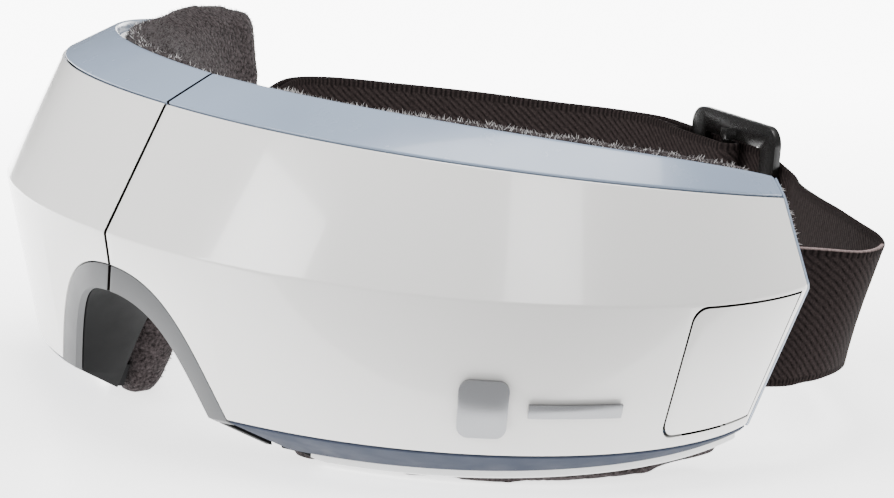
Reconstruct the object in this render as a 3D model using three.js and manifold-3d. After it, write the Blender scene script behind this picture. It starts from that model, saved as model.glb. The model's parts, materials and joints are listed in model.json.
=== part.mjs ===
// Folding eye massager mask: two padded halves hinged above the nose, with an elastic head strap.
// Millimetres, +Z up, +X to the viewer's right when the front is seen, +Y back towards the wearer.
// Everything is drawn with the mask upright, then leant back a little, as it stands on its pads.
import * as THREE from "three";
import { mergeVertices } from "three/addons/utils/BufferGeometryUtils.js";
import Module from "manifold-3d";

const wasm = await Module();
wasm.setup();

// ---------- driving dimensions ----------

// Plan of one half's front ridge, a cubic curve from the seam above the nose to the temple.
const RIDGE = new THREE.CubicBezierCurve(
  new THREE.Vector2(0, 0),
  new THREE.Vector2(76.3, 0),
  new THREE.Vector2(109.7, 60),
  new THREE.Vector2(97.6, 95.3)
);
// The section's corners along one half, from t = 0 at the seam to t = 1 at the temple:
// setback from the ridge and height, each as constant + linear * t + square * t * t.
const CORNERS = {
  ridge: { setback: [0, 0, 0], height: [40.9, -0.3, 5.7] },
  topEdge: { setback: [11.9, -7.4, 2.9], height: [66.3, 1.7, -5.4] },
  topRim: { setback: [22.9, -4.2, -7.8], height: [72.4, 3.2, -8.4] },
  bottomRim: { setback: [22.3, -1.4, -8.8], height: [2.7, 0, 12.8] },
  bottomEdge: { setback: [8.6, 1.7, 0], height: [8.9, -0.1, 8.5] },
};
const SEAM_START = 0.002; // t of each half's flat end at the seam, 0.45 mm from the middle
const STATIONS = 15; // sections along one half
const WALL = 1.6; // moulded wall thickness
const GAP = 0.3; // between pieces that touch
const BULKHEAD = 0.011; // t where the housing's seam wall ends

// The nose arch in the front view: half of it, from the seam to the bottom edge.
const NOSE_ARCH = new THREE.CubicBezierCurve(
  new THREE.Vector2(0, 34.3),
  new THREE.Vector2(17, 34.3),
  new THREE.Vector2(21, 24.5),
  new THREE.Vector2(29.5, 7.5)
);
const ARCH_STEPS = 14;
const TRIM_WIDTH = 5;
const TRIM_THICKNESS = 1.6;
const TRIM_BEVEL = 0.2; // how much deeper the trim's inner edge lies than its outer edge
const GUARD_THICKNESS = 2;
const NOSE_DEPTH = 46; // the arch's cut, front to back

// The mask leans back onto its pads' flat undersides.
const LEAN = THREE.MathUtils.degToRad(6);
const UNDERSIDE = { y: 23, z: 0.9 }; // a point of the flat underside, before the lean

// The fold: an upright pin inside the bridge, with the halves bevelled behind it.
const PIN = { y: 19.5, radius: 1.2, bottom: 37, top: 64 };
const FOLD_RANGE = THREE.MathUtils.degToRad(16);
const FOLD_CLEARANCE = THREE.MathUtils.degToRad(1.5);
const KNUCKLE_RADIUS = 2.9;
const KNUCKLE_BORE = 1.26;
const KNUCKLE_POCKET = 3.4;
const LEAF = { thickness: 1.2, front: 10.8, bottom: 38.5, top: 57 };

const BEZEL = { thickness: 1.5, frame: 5 };
const PAD = { overhang: 0.9, seamDepth: 7, middleDepth: 12.5, templeDepth: 11.5, end: 1.002 };
const POCKET = { tStart: 0.26, tEnd: 0.8, low: 20, high: 56, depth: 4.3 };
const AIRBAG_THICKNESS = 3;
const HEATER_THICKNESS = 0.5;

const KEY = { tStart: 0.765, tEnd: 0.983, vTop: 0.03, vBottom: 0.9, thickness: 1.6, gap: 0.5 };
const KEY_TRAVEL = 0.8;
const KEY_SWITCH = { tStart: 0.79, tEnd: 0.828, vTop: 0.35, vBottom: 0.6 };
const BADGE = { tStart: 0.452, tEnd: 0.518, vTop: 0.49, vBottom: 0.86, thickness: 0.8 };
const BADGE_BAR = { tStart: 0.545, tEnd: 0.68, vTop: 0.635, vBottom: 0.72, thickness: 0.8 };

const BOSSES = [
  { t: 0.17, z: 57 },
  { t: 0.66, z: 58 },
  { t: 0.56, z: 15 },
];
const BOSS_RADIUS = 2.6;
const SCREW = { radius: 1.1, head: 2.3, headHeight: 1.2, length: 8 };

const STRAP = { width: 27.7, thickness: 1.4, layerGap: 0.35 };
// The bracket sunk in each pad's temple end, whose upright bar the strap is looped round.
const BRACKET = {
  t: 0.955, front: 5, back: 1.5, thickness: 0.9, lift: 2.5, barLift: 6.4, barRadius: 1.1, arm: 1.2,
  low: 23.7, high: 52.3,
};
const BRACKET_RECESS = { tStart: 0.893, depth: 9.9, low: 22, high: 54 };
const RIGHT_LOOP_HEIGHT = 37.7; // height of the strap's middle at each bracket
const LEFT_LOOP_HEIGHT = 38.15;
// The strap's centre line behind the head, chosen point by point: x, y and height of its middle.
const STRAP_ROUTE = [
  [83, 95, 37.7],
  [84.8, 101.5, 37.7],
  [86.8, 108, 37.8],
  [87, 114, 37.9],
  [84.6, 120.3, 38.3],
  [78.3, 127, 38.4],
  [67.8, 133.8, 38.4],
  [54, 141.5, 38.2],
  [38, 149.8, 37.7],
  [22, 158.9, 37.3],
  [12.5, 165.1, 37.7],
  [2, 166.61, 40.2],
  [-8, 168.01, 40.8],
  [-18, 169.41, 40.8],
  [-28, 170.81, 40.8],
  [-40, 172.49, 40.7],
  [-52, 168.6, 40.4],
  [-64, 160.5, 40.1],
  [-77, 149.4, 40.2],
  [-88, 135.5, 40.4],
  [-94.3, 121, 40.9],
  [-93.2, 110, 41],
  [-88.2, 101.5, 40.2],
  [-83.4, 95, 39],
];
const SLIDER = {
  x: -7.2, y: 167.9, z: 40.8, length: 33, height: 38.8, rail: 5.5, endRail: 5, thickness: 1.6,
  corner: 4, lift: 1.85, barLift: 3.95, barRadius: 1.2,
};
// Behind the right-hand end the strap leans over in its turn, its lower edge further in.
const TURN = { x: 85.5, y: 116, spread: 18, starts: 98, full: 112, leanX: 0.183, leanY: 0.237 };
const SLIDER_ALONG = new THREE.Vector3(-0.9904, 0.1387, 0).normalize(); // towards the left half
const END_LOOP = { backPly: 5.5, frontPly: 20, returnStop: 19, returnRaised: 12, returnLevel: 32 };

// ---------- colours ----------

const material = (color, roughness, metalness = 0) =>
  new THREE.MeshStandardMaterial({ color, roughness, metalness });
const GLOSS_WHITE = material(0xe4e3e0, 0.18);
const PEARL_BLUE = material(0xb4c2d2, 0.25);
const BEZEL_WHITE = material(0xf2f2f0, 0.35);
const TRIM_GREY = material(0xa9abae, 0.3, 0.4);
const GUARD_BLACK = material(0x35373a, 0.35);
const PLUSH = material(0x5a5254, 0.95);
const WEBBING = material(0x3c3030, 0.9);
const SLIDER_BLACK = material(0x2c2a28, 0.4);
const CHROME = material(0xd8d9dc, 0.12, 1);
const STEEL = material(0x9a9ca0, 0.35, 1);
const BAG_FILM = material(0xc9cdd0, 0.5);
const HEATER_AMBER = material(0xb5742e, 0.5);
const BOARD_GREEN = material(0x1f5a3a, 0.5);
const CELL_BLUE = material(0x2f5f9e, 0.4);
const PUMP_WHITE = material(0xd9d9d4, 0.5);
const TUBE_CLEAR = material(0xcfd4d2, 0.4);

// ---------- curves of one half ----------

const RIDGE_LENGTH = RIDGE.getLength();

const quadratic = ([constant, linear, square], t) => constant + linear * t + square * t * t;
const setbackOf = (corner, t) => quadratic(CORNERS[corner].setback, t);
const heightOf = (corner, t) => quadratic(CORNERS[corner].height, t);
const cornerAt = (corner, t) => new THREE.Vector2(setbackOf(corner, t), heightOf(corner, t));

function ridgeAt(t) {
  const onCurve = THREE.MathUtils.clamp(t, 0, 1);
  const along = RIDGE.getTangent(onCurve);
  const place = RIDGE.getPoint(onCurve).addScaledVector(along, (t - onCurve) * RIDGE_LENGTH);
  return { place, along, inward: new THREE.Vector2(-along.y, along.x) };
}

// A point of a half, from its place along the ridge, its setback from the ridge and its height.
function halfPoint(t, setback, z) {
  const { place, inward } = ridgeAt(t);
  return new THREE.Vector3(place.x + inward.x * setback, place.y + inward.y * setback, z);
}

// A point of the lower front facet, v = 0 on the ridge and v = 1 on the bottom edge.
const facetPoint = (t, v) =>
  halfPoint(
    t,
    setbackOf("bottomEdge", t) * v,
    THREE.MathUtils.lerp(heightOf("ridge", t), heightOf("bottomEdge", t), v)
  );

function facetNormal(t, v) {
  const step = 0.002;
  const alongT = facetPoint(t + step, v).sub(facetPoint(t - step, v));
  const alongV = facetPoint(t, v + step).sub(facetPoint(t, v - step));
  return alongV.cross(alongT).normalize();
}

// How far back the lower facet lies at a point of the front view.
function facetDepth(x, z) {
  let low = 0;
  let high = 0.6;
  for (let step = 0; step < 30; step++) {
    const t = (low + high) / 2;
    const v = (heightOf("ridge", t) - z) / (heightOf("ridge", t) - heightOf("bottomEdge", t));
    if (facetPoint(t, v).x < x) low = t;
    else high = t;
  }
  const v = (heightOf("ridge", low) - z) / (heightOf("ridge", low) - heightOf("bottomEdge", low));
  return facetPoint(low, v).y;
}

// The back wall's setback at a height.
function backSetback(t, z) {
  const top = cornerAt("topRim", t);
  const bottom = cornerAt("bottomRim", t);
  return THREE.MathUtils.mapLinear(z, bottom.y, top.y, bottom.x, top.x);
}

const stationsBetween = (from, to, count) =>
  Array.from({ length: count }, (_, i) => THREE.MathUtils.lerp(from, to, i / (count - 1)));

// ---------- solids ----------

// A closed solid through rings of points, each ring having the same number of corners.
// The ends are filled by triangulating the outline that each end ring draws.
function loft(rings, endOutline = null) {
  const sides = rings[0].length;
  const positions = rings.flat().flatMap((p) => [p.x, p.y, p.z]);
  const faces = [];
  for (let ring = 0; ring < rings.length - 1; ring++) {
    for (let side = 0; side < sides; side++) {
      const a = ring * sides + side;
      const b = ring * sides + ((side + 1) % sides);
      faces.push(a, b, b + sides, a, b + sides, a + sides);
    }
  }
  const last = (rings.length - 1) * sides;
  const outlineOf = (end) =>
    endOutline ? endOutline(end) : Array.from({ length: sides }, (_, i) => circlePoint(i, sides));
  for (const [a, b, c] of outwardTriangles(outlineOf(0))) faces.push(c, b, a);
  for (const [a, b, c] of outwardTriangles(outlineOf(1))) faces.push(last + a, last + b, last + c);
  return solidFromFaces(positions, faces);
}

const circlePoint = (i, sides) =>
  new THREE.Vector2(Math.cos((2 * Math.PI * i) / sides), Math.sin((2 * Math.PI * i) / sides));

// The triangles of an outline, wound the same way as the outline itself.
function outwardTriangles(outline) {
  const forward = THREE.ShapeUtils.area(outline) > 0;
  const triangles = THREE.ShapeUtils.triangulateShape(outline, []);
  return triangles.map(([a, b, c]) => {
    const turn =
      (outline[b].x - outline[a].x) * (outline[c].y - outline[a].y) -
      (outline[b].y - outline[a].y) * (outline[c].x - outline[a].x);
    return turn > 0 === forward ? [a, b, c] : [a, c, b];
  });
}

function solidFromFaces(positions, faces) {
  const points = (i) => new THREE.Vector3().fromArray(positions, 3 * i);
  let volume = 0;
  for (let i = 0; i < faces.length; i += 3) {
    volume += points(faces[i]).dot(points(faces[i + 1]).cross(points(faces[i + 2])));
  }
  const triVerts = Uint32Array.from(faces);
  if (volume < 0) triVerts.reverse();
  const vertProperties = Float32Array.from(positions);
  return new wasm.Manifold(new wasm.Mesh({ numProp: 3, vertProperties, triVerts }));
}

// A three.js geometry as a solid.
function solidOf(geometry) {
  const bare = geometry.index ? geometry.toNonIndexed() : geometry.clone();
  bare.deleteAttribute("normal");
  bare.deleteAttribute("uv");
  const merged = mergeVertices(bare, 1e-4);
  return new wasm.Manifold(
    new wasm.Mesh({
      numProp: 3,
      vertProperties: merged.attributes.position.array,
      triVerts: Uint32Array.from(merged.index.array),
    })
  );
}

function geometryOf(solid) {
  const mesh = solid.getMesh();
  const geometry = new THREE.BufferGeometry();
  geometry.setAttribute("position", new THREE.BufferAttribute(mesh.vertProperties, 3));
  geometry.setIndex(new THREE.BufferAttribute(mesh.triVerts, 1));
  const faceted = geometry.toNonIndexed();
  faceted.computeVertexNormals();
  return faceted;
}

const joined = (solids) => solids.reduce((whole, solid) => whole.add(solid));

// A solid swept along a half, its section a list of setback and height pairs at each t.
function sweep(stations, sectionAt) {
  const sections = stations.map(sectionAt);
  const rings = stations.map((t, i) => sections[i].map((p) => halfPoint(t, p.x, p.y)));
  return loft(rings, (end) => sections[end === 0 ? 0 : sections.length - 1]);
}

// A geometry set at a place of a half, turned so that its X runs along the ridge.
function placeAlong(geometry, t, setback, z) {
  const { along } = ridgeAt(t);
  const place = halfPoint(t, setback, z);
  const turn = new THREE.Matrix4().makeRotationZ(Math.atan2(along.y, along.x));
  return geometry.applyMatrix4(turn).translate(place.x, place.y, place.z);
}

const boxAlong = (t, setback, z, length, depth, height) =>
  solidOf(placeAlong(new THREE.BoxGeometry(length, depth, height), t, setback, z));

// A cylinder whose axis runs along the ridge.
function cylinderAlong(t, setback, z, radius, length, sides = 16) {
  const geometry = new THREE.CylinderGeometry(radius, radius, length, sides);
  geometry.rotateZ(Math.PI / 2);
  return solidOf(placeAlong(geometry, t, setback, z));
}

function uprightCylinder(x, y, radius, bottom, top, sides = 20) {
  const geometry = new THREE.CylinderGeometry(radius, radius, top - bottom, sides);
  geometry.rotateX(Math.PI / 2).translate(x, y, (top + bottom) / 2);
  return solidOf(geometry);
}

function boxBetween(low, high) {
  const size = high.map((value, i) => value - low[i]);
  const middle = high.map((value, i) => (value + low[i]) / 2);
  return solidOf(new THREE.BoxGeometry(...size).translate(...middle));
}

// ---------- the shell's section ----------

// Where two walls of the section meet after both move inwards by the wall thickness.
function innerCorner(before, corner, after, wall) {
  const arriving = corner.clone().sub(before).normalize();
  const leaving = after.clone().sub(corner).normalize();
  const inwardA = new THREE.Vector2(arriving.y, -arriving.x);
  const inwardB = new THREE.Vector2(leaving.y, -leaving.x);
  const middle = inwardA.clone().add(inwardB).normalize();
  return corner.clone().addScaledVector(middle, wall / middle.dot(inwardA));
}

// The section's five outer corners in order up the front, over the top and down the back.
const LOOP = ["ridge", "topEdge", "topRim", "bottomRim", "bottomEdge"];

function innerOf(name, t, wall = WALL) {
  const i = LOOP.indexOf(name);
  const before = cornerAt(LOOP[(i + 4) % 5], t);
  const after = cornerAt(LOOP[(i + 1) % 5], t);
  return innerCorner(before, cornerAt(name, t), after, wall);
}

// A corner pulled a little way towards another one.
function pulled(from, to, distance) {
  const way = to.clone().sub(from).normalize();
  return from.clone().addScaledVector(way, distance);
}

function coverSection(t) {
  const outer = ["bottomEdge", "ridge", "topEdge"].map((name) => cornerAt(name, t));
  const inner = ["topEdge", "ridge", "bottomEdge"].map((name) => innerOf(name, t));
  outer[0] = pulled(outer[0], outer[1], GAP / 2);
  outer[2] = pulled(outer[2], outer[1], GAP / 2);
  inner[0] = pulled(inner[0], inner[1], GAP / 2);
  inner[2] = pulled(inner[2], inner[1], GAP / 2);
  return [...outer, ...inner];
}

function housingCorners(t) {
  const outer = ["topEdge", "topRim", "bottomRim", "bottomEdge"].map((name) => cornerAt(name, t));
  const inner = ["bottomEdge", "bottomRim", "topRim", "topEdge"].map((name) => innerOf(name, t));
  return {
    outer: [pulled(outer[0], outer[1], GAP / 2), outer[1], outer[2], pulled(outer[3], outer[2], GAP / 2)],
    inner: [pulled(inner[0], inner[1], GAP), inner[1], inner[2], pulled(inner[3], inner[2], GAP)],
  };
}

function housingSection(t) {
  const { outer, inner } = housingCorners(t);
  return [...outer, ...inner];
}

// The housing where it is solid from its rim to just behind the front cover.
function solidSection(t) {
  const { outer } = housingCorners(t);
  const behind = ["bottomEdge", "ridge", "topEdge"].map((name) => innerOf(name, t, WALL + GAP));
  behind[0] = pulled(behind[0], innerOf("bottomRim", t), GAP / 2);
  behind[2] = pulled(behind[2], innerOf("topRim", t), GAP / 2);
  return [...outer, ...behind];
}

// ---------- cutters shared by several pieces ----------

// The nose arch moved sideways by a distance: positive widens the opening.
function archPoints(distance) {
  return stationsBetween(0, 1, ARCH_STEPS).map((u) => {
    const point = NOSE_ARCH.getPoint(u);
    const along = NOSE_ARCH.getTangent(u);
    const outward = new THREE.Vector2(-along.y, along.x).multiplyScalar(distance);
    return u === 0 ? new THREE.Vector2(0, point.y + outward.y) : point.add(outward);
  });
}

// The opening for the nose, front to back, as a cutter.
function noseCutter(distance) {
  const points = archPoints(distance);
  const last = points[points.length - 1];
  const along = NOSE_ARCH.getTangent(1);
  const foot = last.clone().addScaledVector(along, (last.y + 12) / -along.y);
  const shape = new THREE.Shape([
    new THREE.Vector2(-10, points[0].y),
    ...points,
    foot,
    new THREE.Vector2(-10, foot.y),
  ]);
  const geometry = new THREE.ExtrudeGeometry(shape, { depth: NOSE_DEPTH, bevelEnabled: false });
  geometry.rotateX(Math.PI / 2).translate(0, NOSE_DEPTH - 6, 0);
  return solidOf(geometry);
}

// What must be clear behind the hinge pin so that the halves can fold together.
function foldCutter() {
  const half = FOLD_RANGE / 2 + FOLD_CLEARANCE;
  const reach = 60;
  const shape = new THREE.Shape([
    new THREE.Vector2(-2, PIN.y),
    new THREE.Vector2(0, PIN.y),
    new THREE.Vector2(reach * Math.tan(half), PIN.y + reach),
    new THREE.Vector2(-2, PIN.y + reach),
  ]);
  const geometry = new THREE.ExtrudeGeometry(shape, { depth: 120, bevelEnabled: false });
  geometry.translate(0, 0, -20);
  return solidOf(geometry);
}

// The pocket in a half's seam wall for the hinge's knuckles and their arms.
function hingePocket() {
  const bottom = PIN.bottom - 1.6;
  const top = PIN.top + 1.9;
  const armSlot = boxBetween([-1, PIN.y - 3.2, bottom], [4, PIN.y - 0.6, top]);
  return uprightCylinder(0, PIN.y, KNUCKLE_POCKET, bottom, top).add(armSlot);
}

// A block standing on the lower facet, between two heights above its surface.
function facetBlock({ tStart, tEnd, vTop, vBottom }, low, high, grow = 0, steps = 7) {
  const growT = grow / RIDGE_LENGTH;
  const growV = grow / 30;
  const rings = stationsBetween(tStart - growT, tEnd + growT, steps).map((t) => {
    const corner = (v, height) =>
      facetPoint(t, v).addScaledVector(facetNormal(t, v), height);
    const top = vTop - growV;
    const bottom = vBottom + growV;
    return [corner(top, low), corner(top, high), corner(bottom, high), corner(bottom, low)];
  });
  return loft(rings);
}

const noseOpening = noseCutter(GAP);
const guardOpening = noseCutter(-TRIM_WIDTH + GUARD_THICKNESS + GAP);
const foldOpening = foldCutter();

// ---------- shells ----------

const halfStations = stationsBetween(SEAM_START, 1, STATIONS);

function bossCylinder({ t, z }, radius, from, to) {
  const { along } = ridgeAt(t);
  const geometry = new THREE.CylinderGeometry(radius, radius, to - from, 14);
  geometry.translate(0, (from + to) / 2, 0);
  geometry.applyMatrix4(new THREE.Matrix4().makeRotationZ(Math.atan2(along.y, along.x)));
  const place = halfPoint(t, 0, z);
  return solidOf(geometry.translate(place.x, place.y, place.z));
}

// The front wall's setback at a height, measured to its outside.
function frontSetback(t, z) {
  const ridge = cornerAt("ridge", t);
  const other = cornerAt(z > ridge.y ? "topEdge" : "bottomEdge", t);
  return THREE.MathUtils.mapLinear(z, ridge.y, other.y, ridge.x, other.x);
}

function makeFrontCover(withKey) {
  let cover = sweep(halfStations, coverSection).subtract(noseOpening).subtract(foldOpening);
  for (const boss of BOSSES) {
    const from = frontSetback(boss.t, boss.z) + 1.2;
    const to = backSetback(boss.t, boss.z) - WALL - GAP;
    const bore = bossCylinder(boss, SCREW.radius + 0.15, to - SCREW.length + 1.5, to + 1);
    cover = cover.add(bossCylinder(boss, BOSS_RADIUS, from, to)).subtract(bore);
  }
  if (withKey) cover = cover.subtract(facetBlock(KEY, -5, 2, KEY.gap));
  return cover;
}

function makeRearHousing() {
  const shell = sweep(halfStations.slice(0, -1), housingSection);
  const endBlock = sweep(halfStations.slice(-3), solidSection);
  const seamWall = sweep(stationsBetween(SEAM_START, BULKHEAD, 2), solidSection);
  let housing = joined([shell, endBlock, seamWall]);
  for (const boss of BOSSES) {
    const back = backSetback(boss.t, boss.z);
    housing = housing.subtract(bossCylinder(boss, SCREW.radius + 0.15, back - 4, back + 2));
  }
  const keyRelief = KEY.thickness + KEY_TRAVEL + GAP;
  return housing
    .subtract(noseOpening)
    .subtract(foldOpening)
    .subtract(hingePocket())
    .subtract(facetBlock(KEY, -keyRelief, 1, 1));
}

const JACK = { t: 0.45, length: 9, depth: 3.2, height: 7.4, lift: 4 };

function jackPlace() {
  return {
    setback: (setbackOf("bottomRim", JACK.t) + setbackOf("bottomEdge", JACK.t)) / 2,
    z: (heightOf("bottomRim", JACK.t) + heightOf("bottomEdge", JACK.t)) / 2 + JACK.lift,
  };
}

// The charging socket, standing in the underside with its mouth downwards.
function makeChargeJack() {
  const { setback, z } = jackPlace();
  const body = boxAlong(JACK.t, setback, z, JACK.length, JACK.depth, JACK.height);
  return body.subtract(boxAlong(JACK.t, setback, z - 3, JACK.length - 1.8, JACK.depth - 1.4, 6));
}

function jackHole() {
  const { setback, z } = jackPlace();
  return boxAlong(
    JACK.t, setback, z, JACK.length + 2 * GAP, JACK.depth + 2 * GAP, JACK.height + 2 * GAP
  );
}

function makeBezel() {
  const plate = sweep(halfStations, (t) => bezelSection(t, 0));
  const window = sweep(stationsBetween(0.13, 0.9, 9), (t) => bezelSection(t, BEZEL.frame));
  return plate.subtract(window).subtract(guardOpening).subtract(foldOpening);
}

function bezelSection(t, inset) {
  const top = cornerAt("topRim", t);
  const bottom = cornerAt("bottomRim", t);
  const extra = inset > 0 ? 1 : 0;
  const front = GAP - extra;
  const back = GAP + BEZEL.thickness + extra;
  return [
    new THREE.Vector2(bottom.x + front, bottom.y + inset),
    new THREE.Vector2(top.x + front, top.y - inset),
    new THREE.Vector2(top.x + back, top.y - inset),
    new THREE.Vector2(bottom.x + back, bottom.y + inset),
  ];
}

// ---------- soft face pad ----------

function padDepth(t) {
  const rise = THREE.MathUtils.smoothstep(t, 0, 0.4);
  const fall = THREE.MathUtils.smoothstep(t, 0.65, 1);
  const middle = THREE.MathUtils.lerp(PAD.seamDepth, PAD.middleDepth, rise);
  return THREE.MathUtils.lerp(middle, PAD.templeDepth, fall);
}

const padFront = () => GAP + BEZEL.thickness + GAP;
const padTop = (t) => heightOf("topRim", t) + PAD.overhang * THREE.MathUtils.smoothstep(t, 0, 0.5);
const padBottom = (t) => heightOf("bottomRim", t) - 2.6;

// The pad's outline at t: a crowned back, rounded over at the top and bottom.
function padSection(t) {
  const depth = padDepth(t);
  const top = padTop(t);
  const bottom = padBottom(t);
  const topFront = setbackOf("topRim", t) + padFront();
  const bottomFront = setbackOf("bottomRim", t) + padFront();
  const height = top - bottom;
  const at = (share, part) =>
    new THREE.Vector2(
      THREE.MathUtils.lerp(bottomFront, topFront, share) + depth * part,
      bottom + height * share
    );
  return [
    at(0, 0), at(0.98, 0), at(1, 0.35), at(0.97, 0.75),
    at(0.8, 1), at(0.5, 0.9), at(0.2, 1), at(0.04, 0.8), at(0, 0.6),
  ];
}

// Everything under the plane that the mask stands on.
function belowUnderside() {
  const geometry = new THREE.BoxGeometry(300, 400, 60).translate(0, 0, -30);
  geometry.rotateX(LEAN).translate(0, UNDERSIDE.y, UNDERSIDE.z);
  return solidOf(geometry);
}

function pocketSolid(shrink, from, to) {
  const stations = stationsBetween(POCKET.tStart + 0.012 * shrink, POCKET.tEnd - 0.012 * shrink, 9);
  return sweep(stations, (t) => {
    const low = POCKET.low + shrink;
    const high = POCKET.high - shrink;
    return [
      new THREE.Vector2(backSetback(t, low) + from, low),
      new THREE.Vector2(backSetback(t, high) + from, high),
      new THREE.Vector2(backSetback(t, high) + to, high),
      new THREE.Vector2(backSetback(t, low) + to, low),
    ];
  });
}

function makeFacePad() {
  return sweep(stationsBetween(SEAM_START, PAD.end, STATIONS), padSection)
    .subtract(pocketSolid(0, padFront() - 1, padFront() + POCKET.depth))
    .subtract(bracketRecess())
    .subtract(belowUnderside())
    .subtract(noseCutter(-TRIM_WIDTH + GAP))
    .subtract(foldOpening);
}

const makeAirbag = () => pocketSolid(1, padFront(), padFront() + AIRBAG_THICKNESS);

function makeHeater() {
  const from = padFront() + AIRBAG_THICKNESS + GAP;
  return pocketSolid(3, from, from + HEATER_THICKNESS);
}

// ---------- nose trim and guard ----------

// The arch's points, carried on straight down past the bottom edge.
function archToFloor(distance) {
  const points = archPoints(distance);
  const last = points[points.length - 1];
  const along = NOSE_ARCH.getTangent(1);
  const drops = [0.5, 1].map((share) => (share * last.y) / -along.y);
  return [...points, ...drops.map((drop) => last.clone().addScaledVector(along, drop))];
}

// What hangs below the sloping band between the bottom edge and the bottom rim.
function belowBand() {
  return sweep(stationsBetween(SEAM_START, 0.4, 7), (t) => {
    const edge = cornerAt("bottomEdge", t);
    const rim = cornerAt("bottomRim", t);
    const front = pulled(edge, rim, -8);
    const back = pulled(rim, edge, -8);
    return [front, back, new THREE.Vector2(back.x, -30), new THREE.Vector2(front.x, -30)];
  });
}

// A strip along the arch, its section given by each point's front edge of the shell.
function archStrip(first, second, depthsAt) {
  const seam = (value) => Math.max(value, 0.45);
  const edge = archToFloor(0);
  const near = archToFloor(first);
  const far = archToFloor(second);
  const rings = edge.map((point, i) => {
    const front = facetDepth(Math.max(point.x, 0.5), Math.max(point.y, heightOf("bottomEdge", 0)));
    const [nearFront, farFront, farBack, nearBack] = depthsAt(front);
    return [
      new THREE.Vector3(seam(near[i].x), nearFront, near[i].y),
      new THREE.Vector3(seam(far[i].x), farFront, far[i].y),
      new THREE.Vector3(seam(far[i].x), farBack, far[i].y),
      new THREE.Vector3(seam(near[i].x), nearBack, near[i].y),
    ];
  });
  return loft(rings).subtract(belowBand());
}

const makeNoseTrim = () =>
  archStrip(0, -TRIM_WIDTH, (front) => [
    front,
    front + TRIM_BEVEL,
    front + TRIM_BEVEL + TRIM_THICKNESS,
    front + TRIM_THICKNESS,
  ]);

function makeNoseGuard() {
  const back = CORNERS.bottomRim.setback[0] + GAP + BEZEL.thickness;
  const lead = TRIM_BEVEL + TRIM_THICKNESS + GAP;
  const wall = archStrip(-TRIM_WIDTH, -TRIM_WIDTH + GUARD_THICKNESS, (front) => [
    front + lead, front + lead, back, back,
  ]);
  return wall.subtract(foldOpening);
}

// ---------- hinge ----------

const KNUCKLE_LENGTH = (PIN.top - PIN.bottom) / 3;

function knuckle(index) {
  const bottom = PIN.bottom + index * KNUCKLE_LENGTH + GAP / 2;
  const top = bottom + KNUCKLE_LENGTH - GAP;
  return uprightCylinder(0, PIN.y, KNUCKLE_RADIUS, bottom, top, 20);
}

// A leaf screwed flat inside a half's seam wall, with an arm out to its knuckles on the pin.
function makeHingeLeaf(knuckles) {
  const wallInside = halfPoint(BULKHEAD, 0, 0).x + GAP;
  const outside = wallInside + LEAF.thickness;
  const armBack = PIN.y - 1.2;
  let leaf = boxBetween([wallInside, LEAF.front, LEAF.bottom], [outside, armBack, LEAF.top]);
  for (const index of knuckles) {
    const bottom = PIN.bottom + index * KNUCKLE_LENGTH + GAP / 2;
    const top = bottom + KNUCKLE_LENGTH - GAP;
    const arm = boxBetween([0.5, PIN.y - 2.6, bottom], [outside, armBack, top]);
    leaf = leaf.add(knuckle(index)).add(arm);
  }
  const bore = uprightCylinder(0, PIN.y, KNUCKLE_BORE, PIN.bottom - 1, PIN.top + 1, 20);
  return leaf.subtract(bore);
}

function makeHingePin() {
  const shaft = uprightCylinder(0, PIN.y, PIN.radius, PIN.bottom - 0.8, PIN.top + 0.9, 20);
  const head = uprightCylinder(0, PIN.y, 2.4, PIN.top + 0.3, PIN.top + 1.3, 20);
  return shaft.add(head);
}

// A strip of fabric that closes the notch behind the pin.
function makeBridgeGusset() {
  const back = PIN.y + KNUCKLE_POCKET + 0.2;
  const half = (back - PIN.y) * Math.tan(FOLD_RANGE / 2) - 0.1;
  return boxBetween([-half, back, 36], [half, back + 1.2, 66]);
}

// ---------- things inside ----------

const makeScrew = (boss) => {
  const back = backSetback(boss.t, boss.z) + 0.35;
  const head = bossCylinder(boss, SCREW.head, back, back + SCREW.headHeight);
  return head.add(bossCylinder(boss, SCREW.radius, back - SCREW.length, back + 0.4));
};

const BATTERY = { t: 0.36, setback: 14, z: 38, length: 34, depth: 6.5, height: 26 };
const BOARD = { t: 0.62, setback: 13.6, z: 38, length: 24, depth: 1.6, height: 28 };
const PUMP_MOTOR = { t: 0.33, setback: 13, z: 44, radius: 5.2, length: 18 };
const PUMP_HEAD = { t: 0.48, setback: 13, z: 44, length: 12, depth: 7.4, height: 13 };
const VALVE = { t: 0.62, setback: 12.4, z: 42, radius: 3, length: 11 };

const boxAt = ({ t, setback, z, length, depth, height }) =>
  boxAlong(t, setback, z, length, depth, height);
const cylinderAt = ({ t, setback, z, radius, length }) =>
  cylinderAlong(t, setback, z, radius, length);

// The switch stands just clear of the key's back, so that a full press closes it.
function makeKeySwitch() {
  return facetBlock(KEY_SWITCH, -5.2, -KEY.thickness - KEY_TRAVEL - 0.1);
}

const MOTOR = { t: 0.3, setback: 14.4, z: 61.5, radius: 3, length: 9 };
const WEIGHT = { radius: 2.6, length: 3 };

// A motor with its shaft along the ridge, and the half-round weight that shakes it.
function makeMotor() {
  return cylinderAt(MOTOR);
}

function weightPlace() {
  const { along } = ridgeAt(MOTOR.t);
  const reach = MOTOR.length / 2 + GAP + WEIGHT.length / 2;
  const middle = halfPoint(MOTOR.t, MOTOR.setback, MOTOR.z);
  return { middle: middle.add(new THREE.Vector3(along.x, along.y, 0).multiplyScalar(reach)), along };
}

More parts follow.
